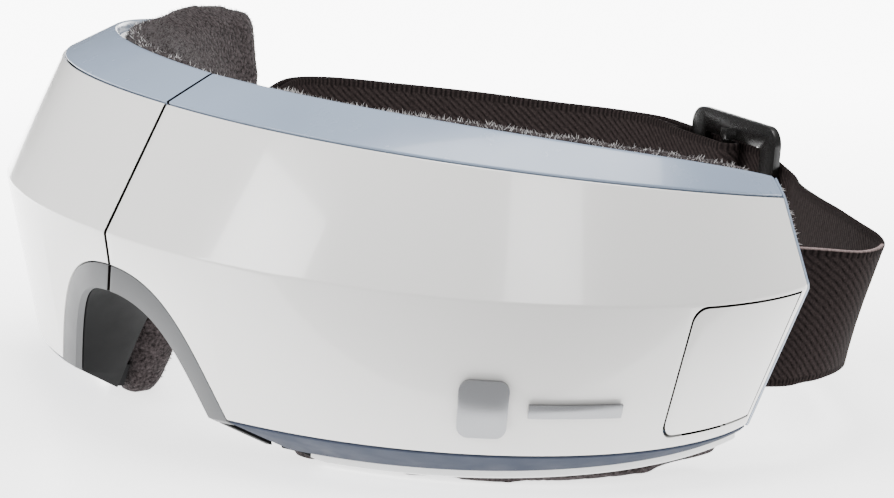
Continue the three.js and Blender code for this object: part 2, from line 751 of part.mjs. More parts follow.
function makeMotorWeight() {
  const shape = new THREE.Shape();
  shape.moveTo(-WEIGHT.radius, 0);
  shape.absarc(0, 0, WEIGHT.radius, Math.PI, 2 * Math.PI, false);
  shape.lineTo(0.9, 0.8);
  shape.lineTo(-0.9, 0.8);
  const geometry = new THREE.ExtrudeGeometry(shape, {
    depth: WEIGHT.length, bevelEnabled: false, curveSegments: 10,
  });
  const { middle, along } = weightPlace();
  geometry.translate(0, 0, -WEIGHT.length / 2);
  geometry.rotateX(Math.PI / 2).rotateZ(Math.PI / 2);
  geometry.applyMatrix4(new THREE.Matrix4().makeRotationZ(Math.atan2(along.y, along.x)));
  return solidOf(geometry.translate(middle.x, middle.y, middle.z));
}

// The air line along a half's top, from the bridge to its pad's airbag.
function makeAirTube() {
  const radius = 1.5;
  return sweep(stationsBetween(0.06, 0.21, 6), () =>
    Array.from({ length: 8 }, (_, i) =>
      circlePoint(i, 8).multiplyScalar(radius).add(new THREE.Vector2(16.2, 64.6))
    )
  );
}

// ---------- strap ----------

// The back wall's frame at the bracket: along it to the temple, and inwards to the head.
function bracketFrame() {
  const step = 0.02;
  const onBack = (t) => halfPoint(t, backSetback(t, RIGHT_LOOP_HEIGHT), 0);
  const place = onBack(BRACKET.t);
  const along = onBack(BRACKET.t + step).sub(onBack(BRACKET.t - step)).normalize();
  return { place, along, inward: new THREE.Vector3(-along.y, along.x, 0) };
}

// A plate with two arms and an upright bar between them.
function makeBracket() {
  const { front, back, thickness, lift, barLift, barRadius, arm, low, high } = BRACKET;
  const tall = high - low + 2 * arm;
  const plate = boxBetween(
    [-front, lift, low - arm],
    [back, lift + thickness, low - arm + tall]
  );
  const arms = [low - arm, high].map((z) =>
    boxBetween([-1.5, lift + 0.2, z], [1.5, barLift + barRadius, z + arm])
  );
  const bar = uprightCylinder(0, barLift, barRadius, low - 0.5, high + 0.5, 12);
  const { place, along, inward } = bracketFrame();
  const frame = new THREE.Matrix4().makeBasis(along, inward, new THREE.Vector3(0, 0, 1));
  frame.setPosition(place);
  return solidOf(geometryOf(joined([plate, ...arms, bar])).applyMatrix4(frame));
}

function bracketRecess() {
  const { tStart, depth, low, high } = BRACKET_RECESS;
  return sweep(stationsBetween(tStart, 1.1, 4), (t) => [
    new THREE.Vector2(backSetback(t, low) + 1, low),
    new THREE.Vector2(backSetback(t, high) + 1, high),
    new THREE.Vector2(backSetback(t, high) + depth, high),
    new THREE.Vector2(backSetback(t, low) + depth, low),
  ]);
}

const BAR_WRAP = BRACKET.barRadius + 0.2 + STRAP.thickness / 2;

// The strap's turn round a bracket's bar, from its head side round to its outer side.
function barTurn(side, height) {
  const { place, along, inward } = bracketFrame();
  const centre = place.addScaledVector(inward, BRACKET.barLift);
  return stationsBetween(0, Math.PI, 8).map((angle) => {
    const point = centre.clone().addScaledVector(inward, Math.cos(angle) * BAR_WRAP);
    point.addScaledVector(along, -Math.sin(angle) * BAR_WRAP);
    return new THREE.Vector3(side * point.x, point.y, height);
  });
}

// The strap's whole run: a sewn tail and loop at the right bracket, round the back of the head,
// round the left bracket's bar, and the second layer back to the slider.
function strapRun() {
  const rightTurn = barTurn(1, RIGHT_LOOP_HEIGHT);
  const leftTurn = barTurn(-1, LEFT_LOOP_HEIGHT).reverse();
  const exit = rightTurn[rightTurn.length - 1];
  const entry = leftTurn[0];
  const route = STRAP_ROUTE.map((p) => new THREE.Vector3(...p));
  const curve = new THREE.CatmullRomCurve3([exit, ...route, entry], false, "centripetal");
  const main = curve.getSpacedPoints(72);
  const step = curve.getLength() / 72;
  const last = main.length - 1;
  const stop = main.findIndex((p) => p.y > 150 && p.x < SLIDER.x - END_LOOP.returnStop);
  const layer = STRAP.thickness + STRAP.layerGap;
  const spacing = (fromBar, fromSlider) =>
    layer +
    (2 * BAR_WRAP - layer) * Math.exp(-fromBar / 6) +
    (SLIDER.barLift - layer) *
      (1 - THREE.MathUtils.smoothstep(fromSlider, END_LOOP.returnRaised, END_LOOP.returnLevel));
  const headSide = (index, distance) => {
    const along = main[Math.min(index + 1, last)].clone().sub(main[index - 1]).setZ(0).normalize();
    return main[index].clone().add(new THREE.Vector3(-along.y, along.x, 0).multiplyScalar(distance));
  };
  const tail = [3, 2, 1].map((i) => headSide(i, spacing(i * step, 100)));
  const back = [];
  for (let i = last - 1; i >= stop; i--) {
    back.push(headSide(i, spacing((last - i) * step, (i - stop) * step)));
  }
  return [...tail, ...rightTurn, ...main.slice(1, last), ...leftTurn, ...back];
}

// Which way the strap's upper edge points at a place of its run.
function strapUp(point) {
  const away = Math.hypot(point.x - TURN.x, point.y - TURN.y) / TURN.spread;
  const share = THREE.MathUtils.smoothstep(point.y, TURN.starts, TURN.full) * Math.exp(-away * away);
  return new THREE.Vector3(TURN.leanX * share, TURN.leanY * share, 1).normalize();
}

// A flat band standing on edge along a run of points.
function band(run, width, thickness, upAt = () => new THREE.Vector3(0, 0, 1)) {
  const rings = run.map((point, i) => {
    const before = run[Math.max(i - 1, 0)];
    const after = run[Math.min(i + 1, run.length - 1)];
    const along = after.clone().sub(before).setZ(0).normalize();
    const side = new THREE.Vector3(-along.y, along.x, 0).multiplyScalar(thickness / 2);
    const up = upAt(point).multiplyScalar(width / 2);
    return [
      point.clone().add(side).add(up),
      point.clone().sub(side).add(up),
      point.clone().sub(side).sub(up),
      point.clone().add(side).sub(up),
    ];
  });
  return loft(rings);
}

// A solid drawn in the slider's own frame, X along the strap to the left and Y to the head side.
function inSliderFrame(solid) {
  const headSide = new THREE.Vector3(-SLIDER_ALONG.y, SLIDER_ALONG.x, 0);
  const frame = new THREE.Matrix4().makeBasis(SLIDER_ALONG, headSide, new THREE.Vector3(0, 0, 1));
  frame.setPosition(SLIDER.x, SLIDER.y, SLIDER.z);
  return solidOf(geometryOf(solid).applyMatrix4(frame));
}

// The three-bar slider: a rounded plate with two slots, and a middle bar bowed to the head side.
function makeSlider() {
  const { length, height, rail, endRail, thickness, corner, lift, barLift, barRadius } = SLIDER;
  const plate = new THREE.ExtrudeGeometry(roundedRectangle(length, height, corner), {
    depth: thickness, bevelEnabled: false, curveSegments: 5,
  });
  plate.rotateX(Math.PI / 2).translate(0, lift + thickness / 2, 0);
  const window = boxBetween(
    [-length / 2 + rail, lift - thickness, -height / 2 + endRail],
    [length / 2 - rail, lift + thickness, height / 2 - endRail]
  );
  const barEnd = height / 2 - endRail;
  const bar = uprightCylinder(0, barLift, barRadius, -barEnd - 0.8, barEnd + 0.8, 12);
  const posts = [-1, 1].map((end) =>
    boxBetween(
      [-barRadius, lift, Math.min(end * (barEnd + 0.2), end * (barEnd + 2.4))],
      [barRadius, barLift + barRadius, Math.max(end * (barEnd + 0.2), end * (barEnd + 2.4))]
    )
  );
  return inSliderFrame(joined([solidOf(plate).subtract(window), bar, ...posts]));
}

function roundedRectangle(width, height, corner) {
  const x = width / 2;
  const y = height / 2;
  const shape = new THREE.Shape();
  shape.moveTo(-x + corner, -y);
  shape.absarc(x - corner, -y + corner, corner, -Math.PI / 2, 0);
  shape.absarc(x - corner, y - corner, corner, 0, Math.PI / 2);
  shape.absarc(-x + corner, y - corner, corner, Math.PI / 2, Math.PI);
  shape.absarc(-x + corner, -y + corner, corner, Math.PI, 1.5 * Math.PI);
  return shape;
}

// The strap's sewn end, folded round the slider's middle bar.
function makeEndLoop() {
  const wrap = SLIDER.barRadius + 0.25 + STRAP.thickness / 2;
  const { barLift } = SLIDER;
  const turn = stationsBetween(-Math.PI / 2, Math.PI / 2, 8).map(
    (angle) => new THREE.Vector3(-Math.cos(angle) * wrap, barLift + Math.sin(angle) * wrap, 0)
  );
  const run = [
    new THREE.Vector3(END_LOOP.backPly, barLift - wrap, 0),
    ...turn,
    new THREE.Vector3(END_LOOP.frontPly / 2, barLift + wrap - 0.1, 0),
    new THREE.Vector3(END_LOOP.frontPly, barLift + STRAP.thickness + 0.4, 0),
  ];
  return inSliderFrame(band(run, STRAP.width, STRAP.thickness));
}

// ---------- assembly ----------

const part = new THREE.Group();
part.name = "eye_massager_mask";
const rightHalf = new THREE.Group();
const leftHalf = new THREE.Group();
leftHalf.scale.x = -1;
part.add(rightHalf, leftHalf);

function addMesh(group, name, solid, look) {
  const mesh = new THREE.Mesh(geometryOf(solid), look);
  mesh.name = name;
  group.add(mesh);
  return mesh;
}

for (const [side, group] of [["right", rightHalf], ["left", leftHalf]]) {
  const isRight = side === "right";
  addMesh(group, `${side}_front_cover`, makeFrontCover(isRight), GLOSS_WHITE);
  const housing = isRight ? makeRearHousing() : makeRearHousing().subtract(jackHole());
  addMesh(group, `${side}_rear_housing`, housing, PEARL_BLUE);
  addMesh(group, `${side}_pad_bezel`, makeBezel(), BEZEL_WHITE);
  addMesh(group, `${side}_face_pad`, makeFacePad(), PLUSH);
  addMesh(group, `${side}_airbag`, makeAirbag(), BAG_FILM);
  addMesh(group, `${side}_heater_film`, makeHeater(), HEATER_AMBER);
  addMesh(group, `${side}_nose_trim`, makeNoseTrim(), TRIM_GREY);
  addMesh(group, `${side}_nose_guard`, makeNoseGuard(), GUARD_BLACK);
  addMesh(group, `${side}_hinge_leaf`, makeHingeLeaf(isRight ? [0, 2] : [1]), STEEL);
  addMesh(group, `${side}_strap_bracket`, makeBracket(), STEEL);
  addMesh(group, `${side}_motor`, makeMotor(), STEEL);
  addMesh(group, `${side}_motor_weight`, makeMotorWeight(), STEEL);
  addMesh(group, `${side}_air_tube`, makeAirTube(), TUBE_CLEAR);
  BOSSES.forEach((boss, i) => addMesh(group, `${side}_cover_screw_${i + 1}`, makeScrew(boss), STEEL));
}

addMesh(rightHalf, "hinge_pin", makeHingePin(), STEEL);
addMesh(rightHalf, "bridge_gusset", makeBridgeGusset(), PLUSH);
addMesh(rightHalf, "control_key", facetBlock(KEY, -KEY.thickness, 0), GLOSS_WHITE);
addMesh(rightHalf, "badge_plate", facetBlock(BADGE, 0.1 + GAP, 0.1 + GAP + BADGE.thickness), CHROME);
addMesh(
  rightHalf, "badge_bar", facetBlock(BADGE_BAR, 0.1 + GAP, 0.1 + GAP + BADGE_BAR.thickness), CHROME
);
addMesh(rightHalf, "battery_pack", boxAt(BATTERY), CELL_BLUE);
addMesh(rightHalf, "main_board", boxAt(BOARD), BOARD_GREEN);
addMesh(rightHalf, "key_switch", makeKeySwitch(), SLIDER_BLACK);
addMesh(leftHalf, "charge_jack", makeChargeJack(), STEEL);
addMesh(leftHalf, "pump_motor", cylinderAt(PUMP_MOTOR), STEEL);
addMesh(leftHalf, "pump_head", boxAt(PUMP_HEAD), PUMP_WHITE);
addMesh(leftHalf, "solenoid_valve", cylinderAt(VALVE), STEEL);

addMesh(part, "head_strap", band(strapRun(), STRAP.width, STRAP.thickness, strapUp), WEBBING);
addMesh(part, "strap_end_loop", makeEndLoop(), WEBBING);
addMesh(part, "strap_slider", makeSlider(), SLIDER_BLACK);

// Lean the part back, and stand it on z = 0 with its box centred on the origin.
part.rotation.x = -LEAN;
part.updateMatrixWorld(true);
const box = new THREE.Box3().setFromObject(part, true);
part.position.set(-(box.min.x + box.max.x) / 2, -(box.min.y + box.max.y) / 2, -box.min.z);

export default part;
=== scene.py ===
"""Looks for the folding eye massager mask: smooth shells, plush pads and a woven strap on the CAD frame.

Shapes are drawn in millimetres with the mask upright, then leant back and set down as the frame is.
A half is drawn on the right; side = -1 mirrors it to the left.
"""
import math
import json

import bpy
import bmesh
import numpy as np
from mathutils import Matrix, Vector


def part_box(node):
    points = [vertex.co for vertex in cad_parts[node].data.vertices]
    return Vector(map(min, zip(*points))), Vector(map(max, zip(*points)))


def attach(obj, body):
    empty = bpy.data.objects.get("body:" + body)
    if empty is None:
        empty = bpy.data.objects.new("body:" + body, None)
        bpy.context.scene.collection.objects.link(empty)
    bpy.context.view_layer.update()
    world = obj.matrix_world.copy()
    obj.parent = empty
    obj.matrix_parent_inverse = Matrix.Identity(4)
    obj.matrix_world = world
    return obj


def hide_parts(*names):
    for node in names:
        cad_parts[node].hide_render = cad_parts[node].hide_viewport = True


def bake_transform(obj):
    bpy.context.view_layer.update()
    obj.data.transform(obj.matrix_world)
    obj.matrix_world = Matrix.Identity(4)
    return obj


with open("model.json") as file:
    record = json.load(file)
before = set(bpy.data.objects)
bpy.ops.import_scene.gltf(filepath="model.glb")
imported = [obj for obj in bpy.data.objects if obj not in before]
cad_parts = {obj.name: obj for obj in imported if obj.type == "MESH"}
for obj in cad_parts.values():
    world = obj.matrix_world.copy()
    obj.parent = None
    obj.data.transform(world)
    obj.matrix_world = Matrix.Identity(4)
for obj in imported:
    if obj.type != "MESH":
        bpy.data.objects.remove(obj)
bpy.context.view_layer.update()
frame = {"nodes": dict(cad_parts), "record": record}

SIDES = {"right": 1, "left": -1}
LEAN = math.radians(6)
UNDERSIDE = (23, 0.9)  # setback and height of a point of the flat underside
SEED = 7

# ---- the shell's driving curves ----

RIDGE = np.array([[0, 0], [76.3, 0], [109.7, 60], [97.6, 95.3]], float)
RIDGE_LENGTH = 157.4
# each corner's setback from the ridge and its height, as constant, linear and square terms in t
CORNERS = {
    "ridge": ((0, 0, 0), (40.9, -0.3, 5.7)),
    "topEdge": ((11.9, -7.4, 2.9), (66.3, 1.7, -5.4)),
    "topRim": ((22.9, -4.2, -7.8), (72.4, 3.2, -8.4)),
    "bottomRim": ((22.3, -1.4, -8.8), (2.7, 0, 12.8)),
    "bottomEdge": ((8.6, 1.7, 0), (8.9, -0.1, 8.5)),
}
LOOP = ["ridge", "topEdge", "topRim", "bottomRim", "bottomEdge"]
SEAM = 0.002
WALL = 1.6
GAP = 0.3
BULKHEAD = 0.011
NOSE_ARCH = np.array([[0, 34.3], [17, 34.3], [21, 24.5], [29.5, 7.5]], float)
TRIM_WIDTH = 5
TRIM_THICKNESS = 1.6
TRIM_BEVEL = 0.2
GUARD_THICKNESS = 2
BEZEL_THICKNESS = 1.5
PAD_FRONT = GAP + BEZEL_THICKNESS + GAP  # from the rim back to the pad
PIN_SETBACK = 19.5
FOLD_HALF = math.radians(9.5)
POCKET = {"radius": 3.4, "foot": 35.4, "head": 65.9, "sides": 32}
ARM_SLOT = {"reach": 4, "back": 0.6, "front": 3.2}
KEY = {"t": (0.765, 0.983), "v": (0.03, 0.9), "thickness": 1.6, "travel": 0.8, "gap": 0.5, "corner_t": 0.02}
BADGE = {"t": (0.452, 0.518), "v": (0.49, 0.86), "corner_t": 0.015}
BADGE_BAR = {"t": (0.545, 0.68), "v": (0.635, 0.72)}
BADGE_HEIGHTS = (0.4, 1.2)  # above the facet
JACK = {"t": 0.45, "half_length": 4.8, "half_depth": 1.9, "half_height": 4.0, "lift": 4}


def clamped(value):
    return min(max(value, 0), 1)


def eased(share):
    """A share from 0 to 1 that starts and ends gently."""
    u = clamped(share)
    return u * u * (3 - 2 * u)


def quadratic(terms, t):
    return terms[0] + terms[1] * t + terms[2] * t * t


def corner(name, t):
    setback, height = CORNERS[name]
    return np.array([quadratic(setback, t), quadratic(height, t)])


def bezier(points, t):
    """The place on a cubic curve and its unit direction there."""
    a, b, c, d = points
    s = 1 - t
    place = s**3 * a + 3 * s * s * t * b + 3 * s * t * t * c + t**3 * d
    way = s * s * (b - a) + 2 * s * t * (c - b) + t * t * (d - c)
    return place, way / np.linalg.norm(way)


def ridge_at(t):
    on_curve = clamped(t)
    place, along = bezier(RIDGE, on_curve)
    return place + along * (t - on_curve) * RIDGE_LENGTH, along


def half_point(t, setback, z):
    place, along = ridge_at(t)
    return np.array([place[0] - along[1] * setback, place[1] + along[0] * setback, z])


def facet_point(t, v):
    """A point of the lower front facet: v = 0 on the ridge and v = 1 on the bottom edge."""
    ridge, edge = corner("ridge", t), corner("bottomEdge", t)
    return half_point(t, edge[0] * v, ridge[1] + (edge[1] - ridge[1]) * v)


def facet_normal(t, v):
    step = 0.002
    along_t = facet_point(t + step, v) - facet_point(t - step, v)
    along_v = facet_point(t, v + step) - facet_point(t, v - step)
    normal = np.cross(along_v, along_t)
    return normal / np.linalg.norm(normal)


def facet_depth(x, z):
    """How far back the lower facet lies at a point of the front view."""
    low, high = 0.0, 0.6
    for _ in range(30):
        t = (low + high) / 2
        top, bottom = corner("ridge", t)[1], corner("bottomEdge", t)[1]
        v = (top - z) / (top - bottom)
        if facet_point(t, v)[0] < x:
            low = t
        else:
            high = t
    return facet_point(low, v)[1]


# ---- from the upright drawing to the frame ----


def lean_back(points):
    p = np.asarray(points, float)
    c, s = math.cos(LEAN), math.sin(LEAN)
    return np.stack([p[..., 0], p[..., 1] * c + p[..., 2] * s, -p[..., 1] * s + p[..., 2] * c], -1) / 1000


def seat_of_frame():
    """The move that brings the leant drawing onto the frame.

    The ridge at the seam is the front cover's foremost line, and the flat underside is z = 0.
    """
    foremost = lean_back(half_point(SEAM, 0, corner("ridge", SEAM)[1]))
    underside = lean_back([0, *UNDERSIDE])
    return np.array([0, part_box("right_front_cover")[0].y - foremost[1], -underside[2]])


SEAT = seat_of_frame()


def placed(points, side=1):
    p = lean_back(points) + SEAT
    return p * np.array([side, 1, 1])


# ---- mesh helpers ----


def linked(name, data):
    obj = bpy.data.objects.new(name, data)
    bpy.context.scene.collection.objects.link(obj)
    return obj


def new_object(name, verts, faces, smooth=35, weld=True):
    mesh = bpy.data.meshes.new(name)
    mesh.from_pydata([tuple(v) for v in verts], [], [tuple(f) for f in faces])
    mesh.validate()
    bm = bmesh.new()
    bm.from_mesh(mesh)
    if weld:
        bmesh.ops.remove_doubles(bm, verts=bm.verts, dist=1e-7)
    bmesh.ops.recalc_face_normals(bm, faces=bm.faces)
    bm.to_mesh(mesh)
    bm.free()
    obj = linked(name, mesh)
    soften(obj, smooth)
    return obj


def soften(obj, angle):
    obj.data.shade_smooth()
    obj.data.set_sharp_from_angle(angle=math.radians(angle))


def ring_faces(rings, sides):
    faces = []
    for r in range(rings - 1):
        for s in range(sides):
            a = r * sides + s
            b = r * sides + (s + 1) % sides
            faces.append((a, b, b + sides, a + sides))
    return faces


def loft(name, rings, side=1, smooth=35, weld=True):
    """A closed solid through rings of upright millimetre points, with flat ends."""
    rings = np.asarray(rings, float)
    count, sides = rings.shape[:2]
    faces = ring_faces(count, sides)
    faces.append(tuple(range(sides))[::-1])
    faces.append(tuple(range((count - 1) * sides, count * sides)))
    return new_object(name, placed(rings.reshape(-1, 3), side), faces, smooth, weld)


def sweep(name, stations, section, side):
    rings = [[half_point(t, p[0], p[1]) for p in section(t)] for t in stations]
    return loft(name, rings, side)


def apply_modifiers(obj):
    bpy.context.view_layer.update()
    depsgraph = bpy.context.evaluated_depsgraph_get()
    mesh = bpy.data.meshes.new_from_object(obj.evaluated_get(depsgraph))
    obj.modifiers.clear()
    old = obj.data
    obj.data = mesh
    bpy.data.meshes.remove(old)


def cut(obj, tool, operation="DIFFERENCE"):
    modifier = obj.modifiers.new("cut", "BOOLEAN")
    modifier.operation = operation
    modifier.solver = "EXACT"
    modifier.object = tool
    apply_modifiers(obj)
    bpy.data.objects.remove(tool)


def round_edges(obj, width, angle=40, segments=2, smooth=35):
    modifier = obj.modifiers.new("edge", "BEVEL")
    modifier.width = width / 1000
    modifier.segments = segments
    modifier.limit_method = "ANGLE"
    modifier.angle_limit = math.radians(angle)
    apply_modifiers(obj)
    soften(obj, smooth)


def remeshed(node, name, voxel, rounds):
    """A copy of a CAD piece with an even and slightly smoothed skin."""
    obj = linked(name, frame["nodes"][node].data.copy())
    remesh = obj.modifiers.new("remesh", "REMESH")
    remesh.mode = "VOXEL"
    remesh.voxel_size = voxel
    even = obj.modifiers.new("even", "SMOOTH")
    even.factor = 0.5
    even.iterations = rounds
    apply_modifiers(obj)
    return obj


def filleted(points, radii, steps=5):
    """A closed outline with its corners rounded."""
    out = []
    count = len(points)
    for i, radius in enumerate(radii):
        here, before, after = (np.asarray(points[j % count], float) for j in (i, i - 1, i + 1))
        if radius <= 0:
            out.extend([here] * (steps + 1))
            continue
        a, b = before - here, after - here
        room = min(np.linalg.norm(a), np.linalg.norm(b)) * 0.45
        a, b = a / np.linalg.norm(a), b / np.linalg.norm(b)
        half = math.acos(float(np.clip(a @ b, -1, 1))) / 2
        reach = min(radius / math.tan(half), room)
        start, end = here + a * reach, here + b * reach
        for k in range(steps + 1):
            u = k / steps
            out.append((1 - u) ** 2 * start + 2 * u * (1 - u) * here + u * u * end)
    return out


def inner_corner(name, t, wall=WALL):
    i = LOOP.index(name)
    before, here, after = corner(LOOP[i - 1], t), corner(name, t), corner(LOOP[(i + 1) % 5], t)
    arriving = (here - before) / np.linalg.norm(here - before)
    leaving = (after - here) / np.linalg.norm(after - here)
    inward_a = np.array([arriving[1], -arriving[0]])
    inward_b = np.array([leaving[1], -leaving[0]])
    middle = (inward_a + inward_b) / np.linalg.norm(inward_a + inward_b)
    return here + middle * wall / float(middle @ inward_a)


def pulled(start, towards, distance):
    way = (towards - start) / np.linalg.norm(towards - start)
    return start + way * distance


def drawn_in(points, distance):
    """An open outline with both ends pulled back along it."""
    first = pulled(points[0], points[1], distance)
    return [first, *points[1:-1], pulled(points[-1], points[-2], distance)]


def evenly(points, count=0, spacing=1.0):
    """The same path with its points evenly spaced, by a count or by a spacing."""
    points = np.array(points)
    length = np.concatenate([[0], np.cumsum(np.linalg.norm(np.diff(points, axis=0), axis=1))])
    marks = np.linspace(0, length[-1], count or max(int(length[-1] / spacing), 2))
    return np.stack([np.interp(marks, length, column) for column in points.T], 1)


# ---- materials ----

WEAVE_PAINTED_LIGHT = "weave_painted_light"  # the attribute in which a woven mesh keeps its painted light, from 0 dark to 1 light: painted shade in the grooves and a painted highlight on an upper edge


def set_inputs(node, values):
    for name, value in values.items():
        node.inputs[name].default_value = value


def node_material(name, color, roughness=0.4, metallic=0.0, coat=0.0, sheen=0.0, specular=0.5):
    material = bpy.data.materials.new(name)
    material.use_nodes = True
    shader = material.node_tree.nodes["Principled BSDF"]
    set_inputs(shader, {
        "Base Color": (*color, 1), "Roughness": roughness, "Metallic": metallic, "Coat Weight": coat,
        "Coat Roughness": 0.06, "Sheen Weight": sheen, "Specular IOR Level": specular,
    })
    return material, material.node_tree, shader


def noise(tree, scale, detail=3.0):
    coords = tree.nodes.new("ShaderNodeTexCoord")
    texture = tree.nodes.new("ShaderNodeTexNoise")
    set_inputs(texture, {"Scale": scale, "Detail": detail})
    tree.links.new(coords.outputs["Object"], texture.inputs["Vector"])
    return texture.outputs["Fac"]


def ramp(tree, value, low, high, start=0.3, stop=0.7):
    """A value that runs from low to high while the given one runs from start to stop."""
    node = tree.nodes.new("ShaderNodeMapRange")
    set_inputs(node, {"From Min": start, "From Max": stop, "To Min": low, "To Max": high})
    tree.links.new(value, node.inputs["Value"])
    return node.outputs["Result"]


def tint(tree, value, dark, light):
    node = tree.nodes.new("ShaderNodeValToRGB")
    node.color_ramp.elements[0].position = 0.3
    node.color_ramp.elements[1].position = 0.7
    node.color_ramp.elements[0].color = (*dark, 1)
    node.color_ramp.elements[1].color = (*light, 1)
    tree.links.new(value, node.inputs["Fac"])
    return node.outputs["Color"]


def mixed(tree, share, first, second, blend="MIX"):
    """Two colours mixed; each of the three may be a value or another node's output."""
    mix = tree.nodes.new("ShaderNodeMix")
    mix.data_type = "RGBA"
    mix.blend_type = blend
    for index, value in ((0, share), (6, first), (7, second)):
        if isinstance(value, bpy.types.NodeSocket):
            tree.links.new(value, mix.inputs[index])
        else:
            mix.inputs[index].default_value = value
    return mix.outputs[2]


def bump(tree, shader, height, distance, strength=1.0):
    node = tree.nodes.new("ShaderNodeBump")
    set_inputs(node, {"Distance": distance, "Strength": strength})
    tree.links.new(height, node.inputs["Height"])
    tree.links.new(node.outputs["Normal"], shader.inputs["Normal"])


def finish_of(name, color, roughness, grain=900, depth=1e-5, spread=0.04, **more):
    """A moulded or metal finish: faint colour and gloss variation, with a fine grain."""
    material, tree, shader = node_material(name, color, roughness, **more)
    cloud = noise(tree, 26, 2)
    dark = tuple(c * (1 - spread) for c in color)
    light = tuple(min(1, c * (1 + spread)) for c in color)
    tree.links.new(tint(tree, cloud, dark, light), shader.inputs["Base Color"])
    gloss = ramp(tree, noise(tree, 140, 4), roughness * 0.85, roughness * 1.2)
    tree.links.new(gloss, shader.inputs["Roughness"])
    bump(tree, shader, noise(tree, grain, 3), depth, 0.5)
    return material


def plush_material():
    color = (0.02, 0.016, 0.016)
    material, tree, shader = node_material("plush_pile", color, 0.95, sheen=0.1, specular=0.05)
    shader.inputs["Sheen Roughness"].default_value = 0.4
    tufts = noise(tree, 1500, 4)
    shade = tint(tree, tufts, (0.01, 0.008, 0.008), (0.065, 0.053, 0.054))
    tree.links.new(shade, shader.inputs["Base Color"])
    bump(tree, shader, tufts, 5e-4, 0.9)
    return material


def webbing_material():
    """Dark webbing: grooves darker than ribs as painted shade, and a painted highlight on the upper edge, by
    the values kept on the mesh.
    """
    material, tree, shader = node_material("webbing_twill", (0.02, 0.014, 0.014), 0.85, specular=0.04)
    rib = tree.nodes.new("ShaderNodeAttribute")
    rib.attribute_name = WEAVE_PAINTED_LIGHT
    yarn = noise(tree, 2600, 3)
    ribs = mixed(tree, rib.outputs["Fac"], (0.001, 0.0006, 0.0006, 1), (0.42, 0.32, 0.31, 1))
    yarns = tint(tree, yarn, (0.5, 0.5, 0.5), (1, 1, 1))
    tree.links.new(mixed(tree, 1, ribs, yarns, "MULTIPLY"), shader.inputs["Base Color"])
    bump(tree, shader, yarn, 1.5e-4, 0.7)
    return material


# pale fibres on the dark pile: their light colour is a painted highlight of the light along the rim
def highlight_fringe_material():
    material, tree, shader = node_material("pile_painted_highlight", (0.7, 0.68, 0.67), 0.8, sheen=0.2)
    shade = tint(tree, noise(tree, 800, 2), (0.45, 0.42, 0.41), (0.9, 0.89, 0.88))
    tree.links.new(shade, shader.inputs["Base Color"])
    return material


FINISHES = {
    "white_shell": ((0.80, 0.79, 0.77), 0.2, dict(coat=0.6, spread=0.01)),
    "blue_housing": ((0.24, 0.3, 0.4), 0.24, dict(coat=0.3, spread=0.06)),
    # a darker, duller copy of the blue housing for its lower band: painted shade of the underside
    "lower_band_painted_shade": ((0.035, 0.042, 0.062), 0.5, dict(specular=0.03, spread=0.08)),
    # near-black for the faces in the seams and round the key: painted shade of the gaps
    "seam_painted_shade": ((0.006, 0.005, 0.004), 0.9, dict(specular=0.02)),
    "bezel_white": ((0.86, 0.86, 0.85), 0.4, dict(spread=0.01)),
    "trim_grey": ((0.12, 0.122, 0.125), 0.42, dict(specular=0.12, spread=0.03)),
    "guard_dark": ((0.009, 0.0092, 0.0095), 0.5, dict(specular=0.06)),
    "slider_black": ((0.004, 0.0038, 0.0035), 0.25, dict(grain=1400, depth=3e-5)),
    "chrome": ((0.26, 0.265, 0.275), 0.24, dict(metallic=1.0, spread=0.02)),
    "steel": ((0.5, 0.51, 0.52), 0.35, dict(metallic=1.0)),
    "bag_film": ((0.6, 0.62, 0.64), 0.4, {}),
    "heater_film": ((0.45, 0.2, 0.06), 0.4, {}),
    "board_green": ((0.02, 0.12, 0.05), 0.4, {}),
    "battery_wrap": ((0.04, 0.13, 0.34), 0.35, {}),
    "pump_white": ((0.7, 0.7, 0.66), 0.45, {}),
    "tube": ((0.6, 0.63, 0.62), 0.3, {}),
}
MATERIALS = {
    name: finish_of(name, color, roughness, **more) for name, (color, roughness, more) in FINISHES.items()
}
MATERIALS |= {"plush": plush_material(), "pile_painted_highlight": highlight_fringe_material(), "webbing": webbing_material()}


def dress_frame():
    """Every CAD node that stays gets its slot's material."""
    slots = {entry["node"]: entry["material_slot"] for entry in frame["record"]["subparts"]}
    for name, node in frame["nodes"].items():
        material = MATERIALS[slots[name]]
        if not node.material_slots:
            node.data.materials.append(material)
        for place in node.material_slots:
            place.material = material


dress_frame()

# ---- cutters ----

ARCH_STEPS = 40
BLOCK_STEPS = 48
FACET_SPAN = 30  # about the lower facet's upright height, which turns a block's growth into a share
ROUND_SPAN = 33  # about its length down the slope, which does the same for round corners
NOSE_CUT = {"past_middle": 10, "past_foot": 12, "front": -6, "back": 40}
FOLD_CUT = {"past_middle": 2, "reach": 60, "foot": -20, "head": 100}


def arch(distance):
    points = []
    for i in range(ARCH_STEPS):
        place, along = bezier(NOSE_ARCH, i / (ARCH_STEPS - 1))
        outward = np.array([-along[1], along[0]]) * distance
        points.append(place + outward if i else np.array([0, place[1] + outward[1]]))
    return points


def prism(name, outline, to_point, low, high, side):
    """A closed block from an outline, carried from low to high by to_point(x, y, depth)."""
    rings = [[to_point(p[0], p[1], depth) for p in outline] for depth in (low, high)]
    return loft(name, rings, side)


def nose_cutter(distance, side):
    points = arch(distance)
    way = bezier(NOSE_ARCH, 1)[1]
    foot = points[-1] + way * (points[-1][1] + NOSE_CUT["past_foot"]) / -way[1]
    middle = -NOSE_CUT["past_middle"]
    outline = [np.array([middle, points[0][1]]), *points, foot, np.array([middle, foot[1]])]
    return prism("cutter", outline, lambda x, z, y: (x, y, z), NOSE_CUT["front"], NOSE_CUT["back"], side)


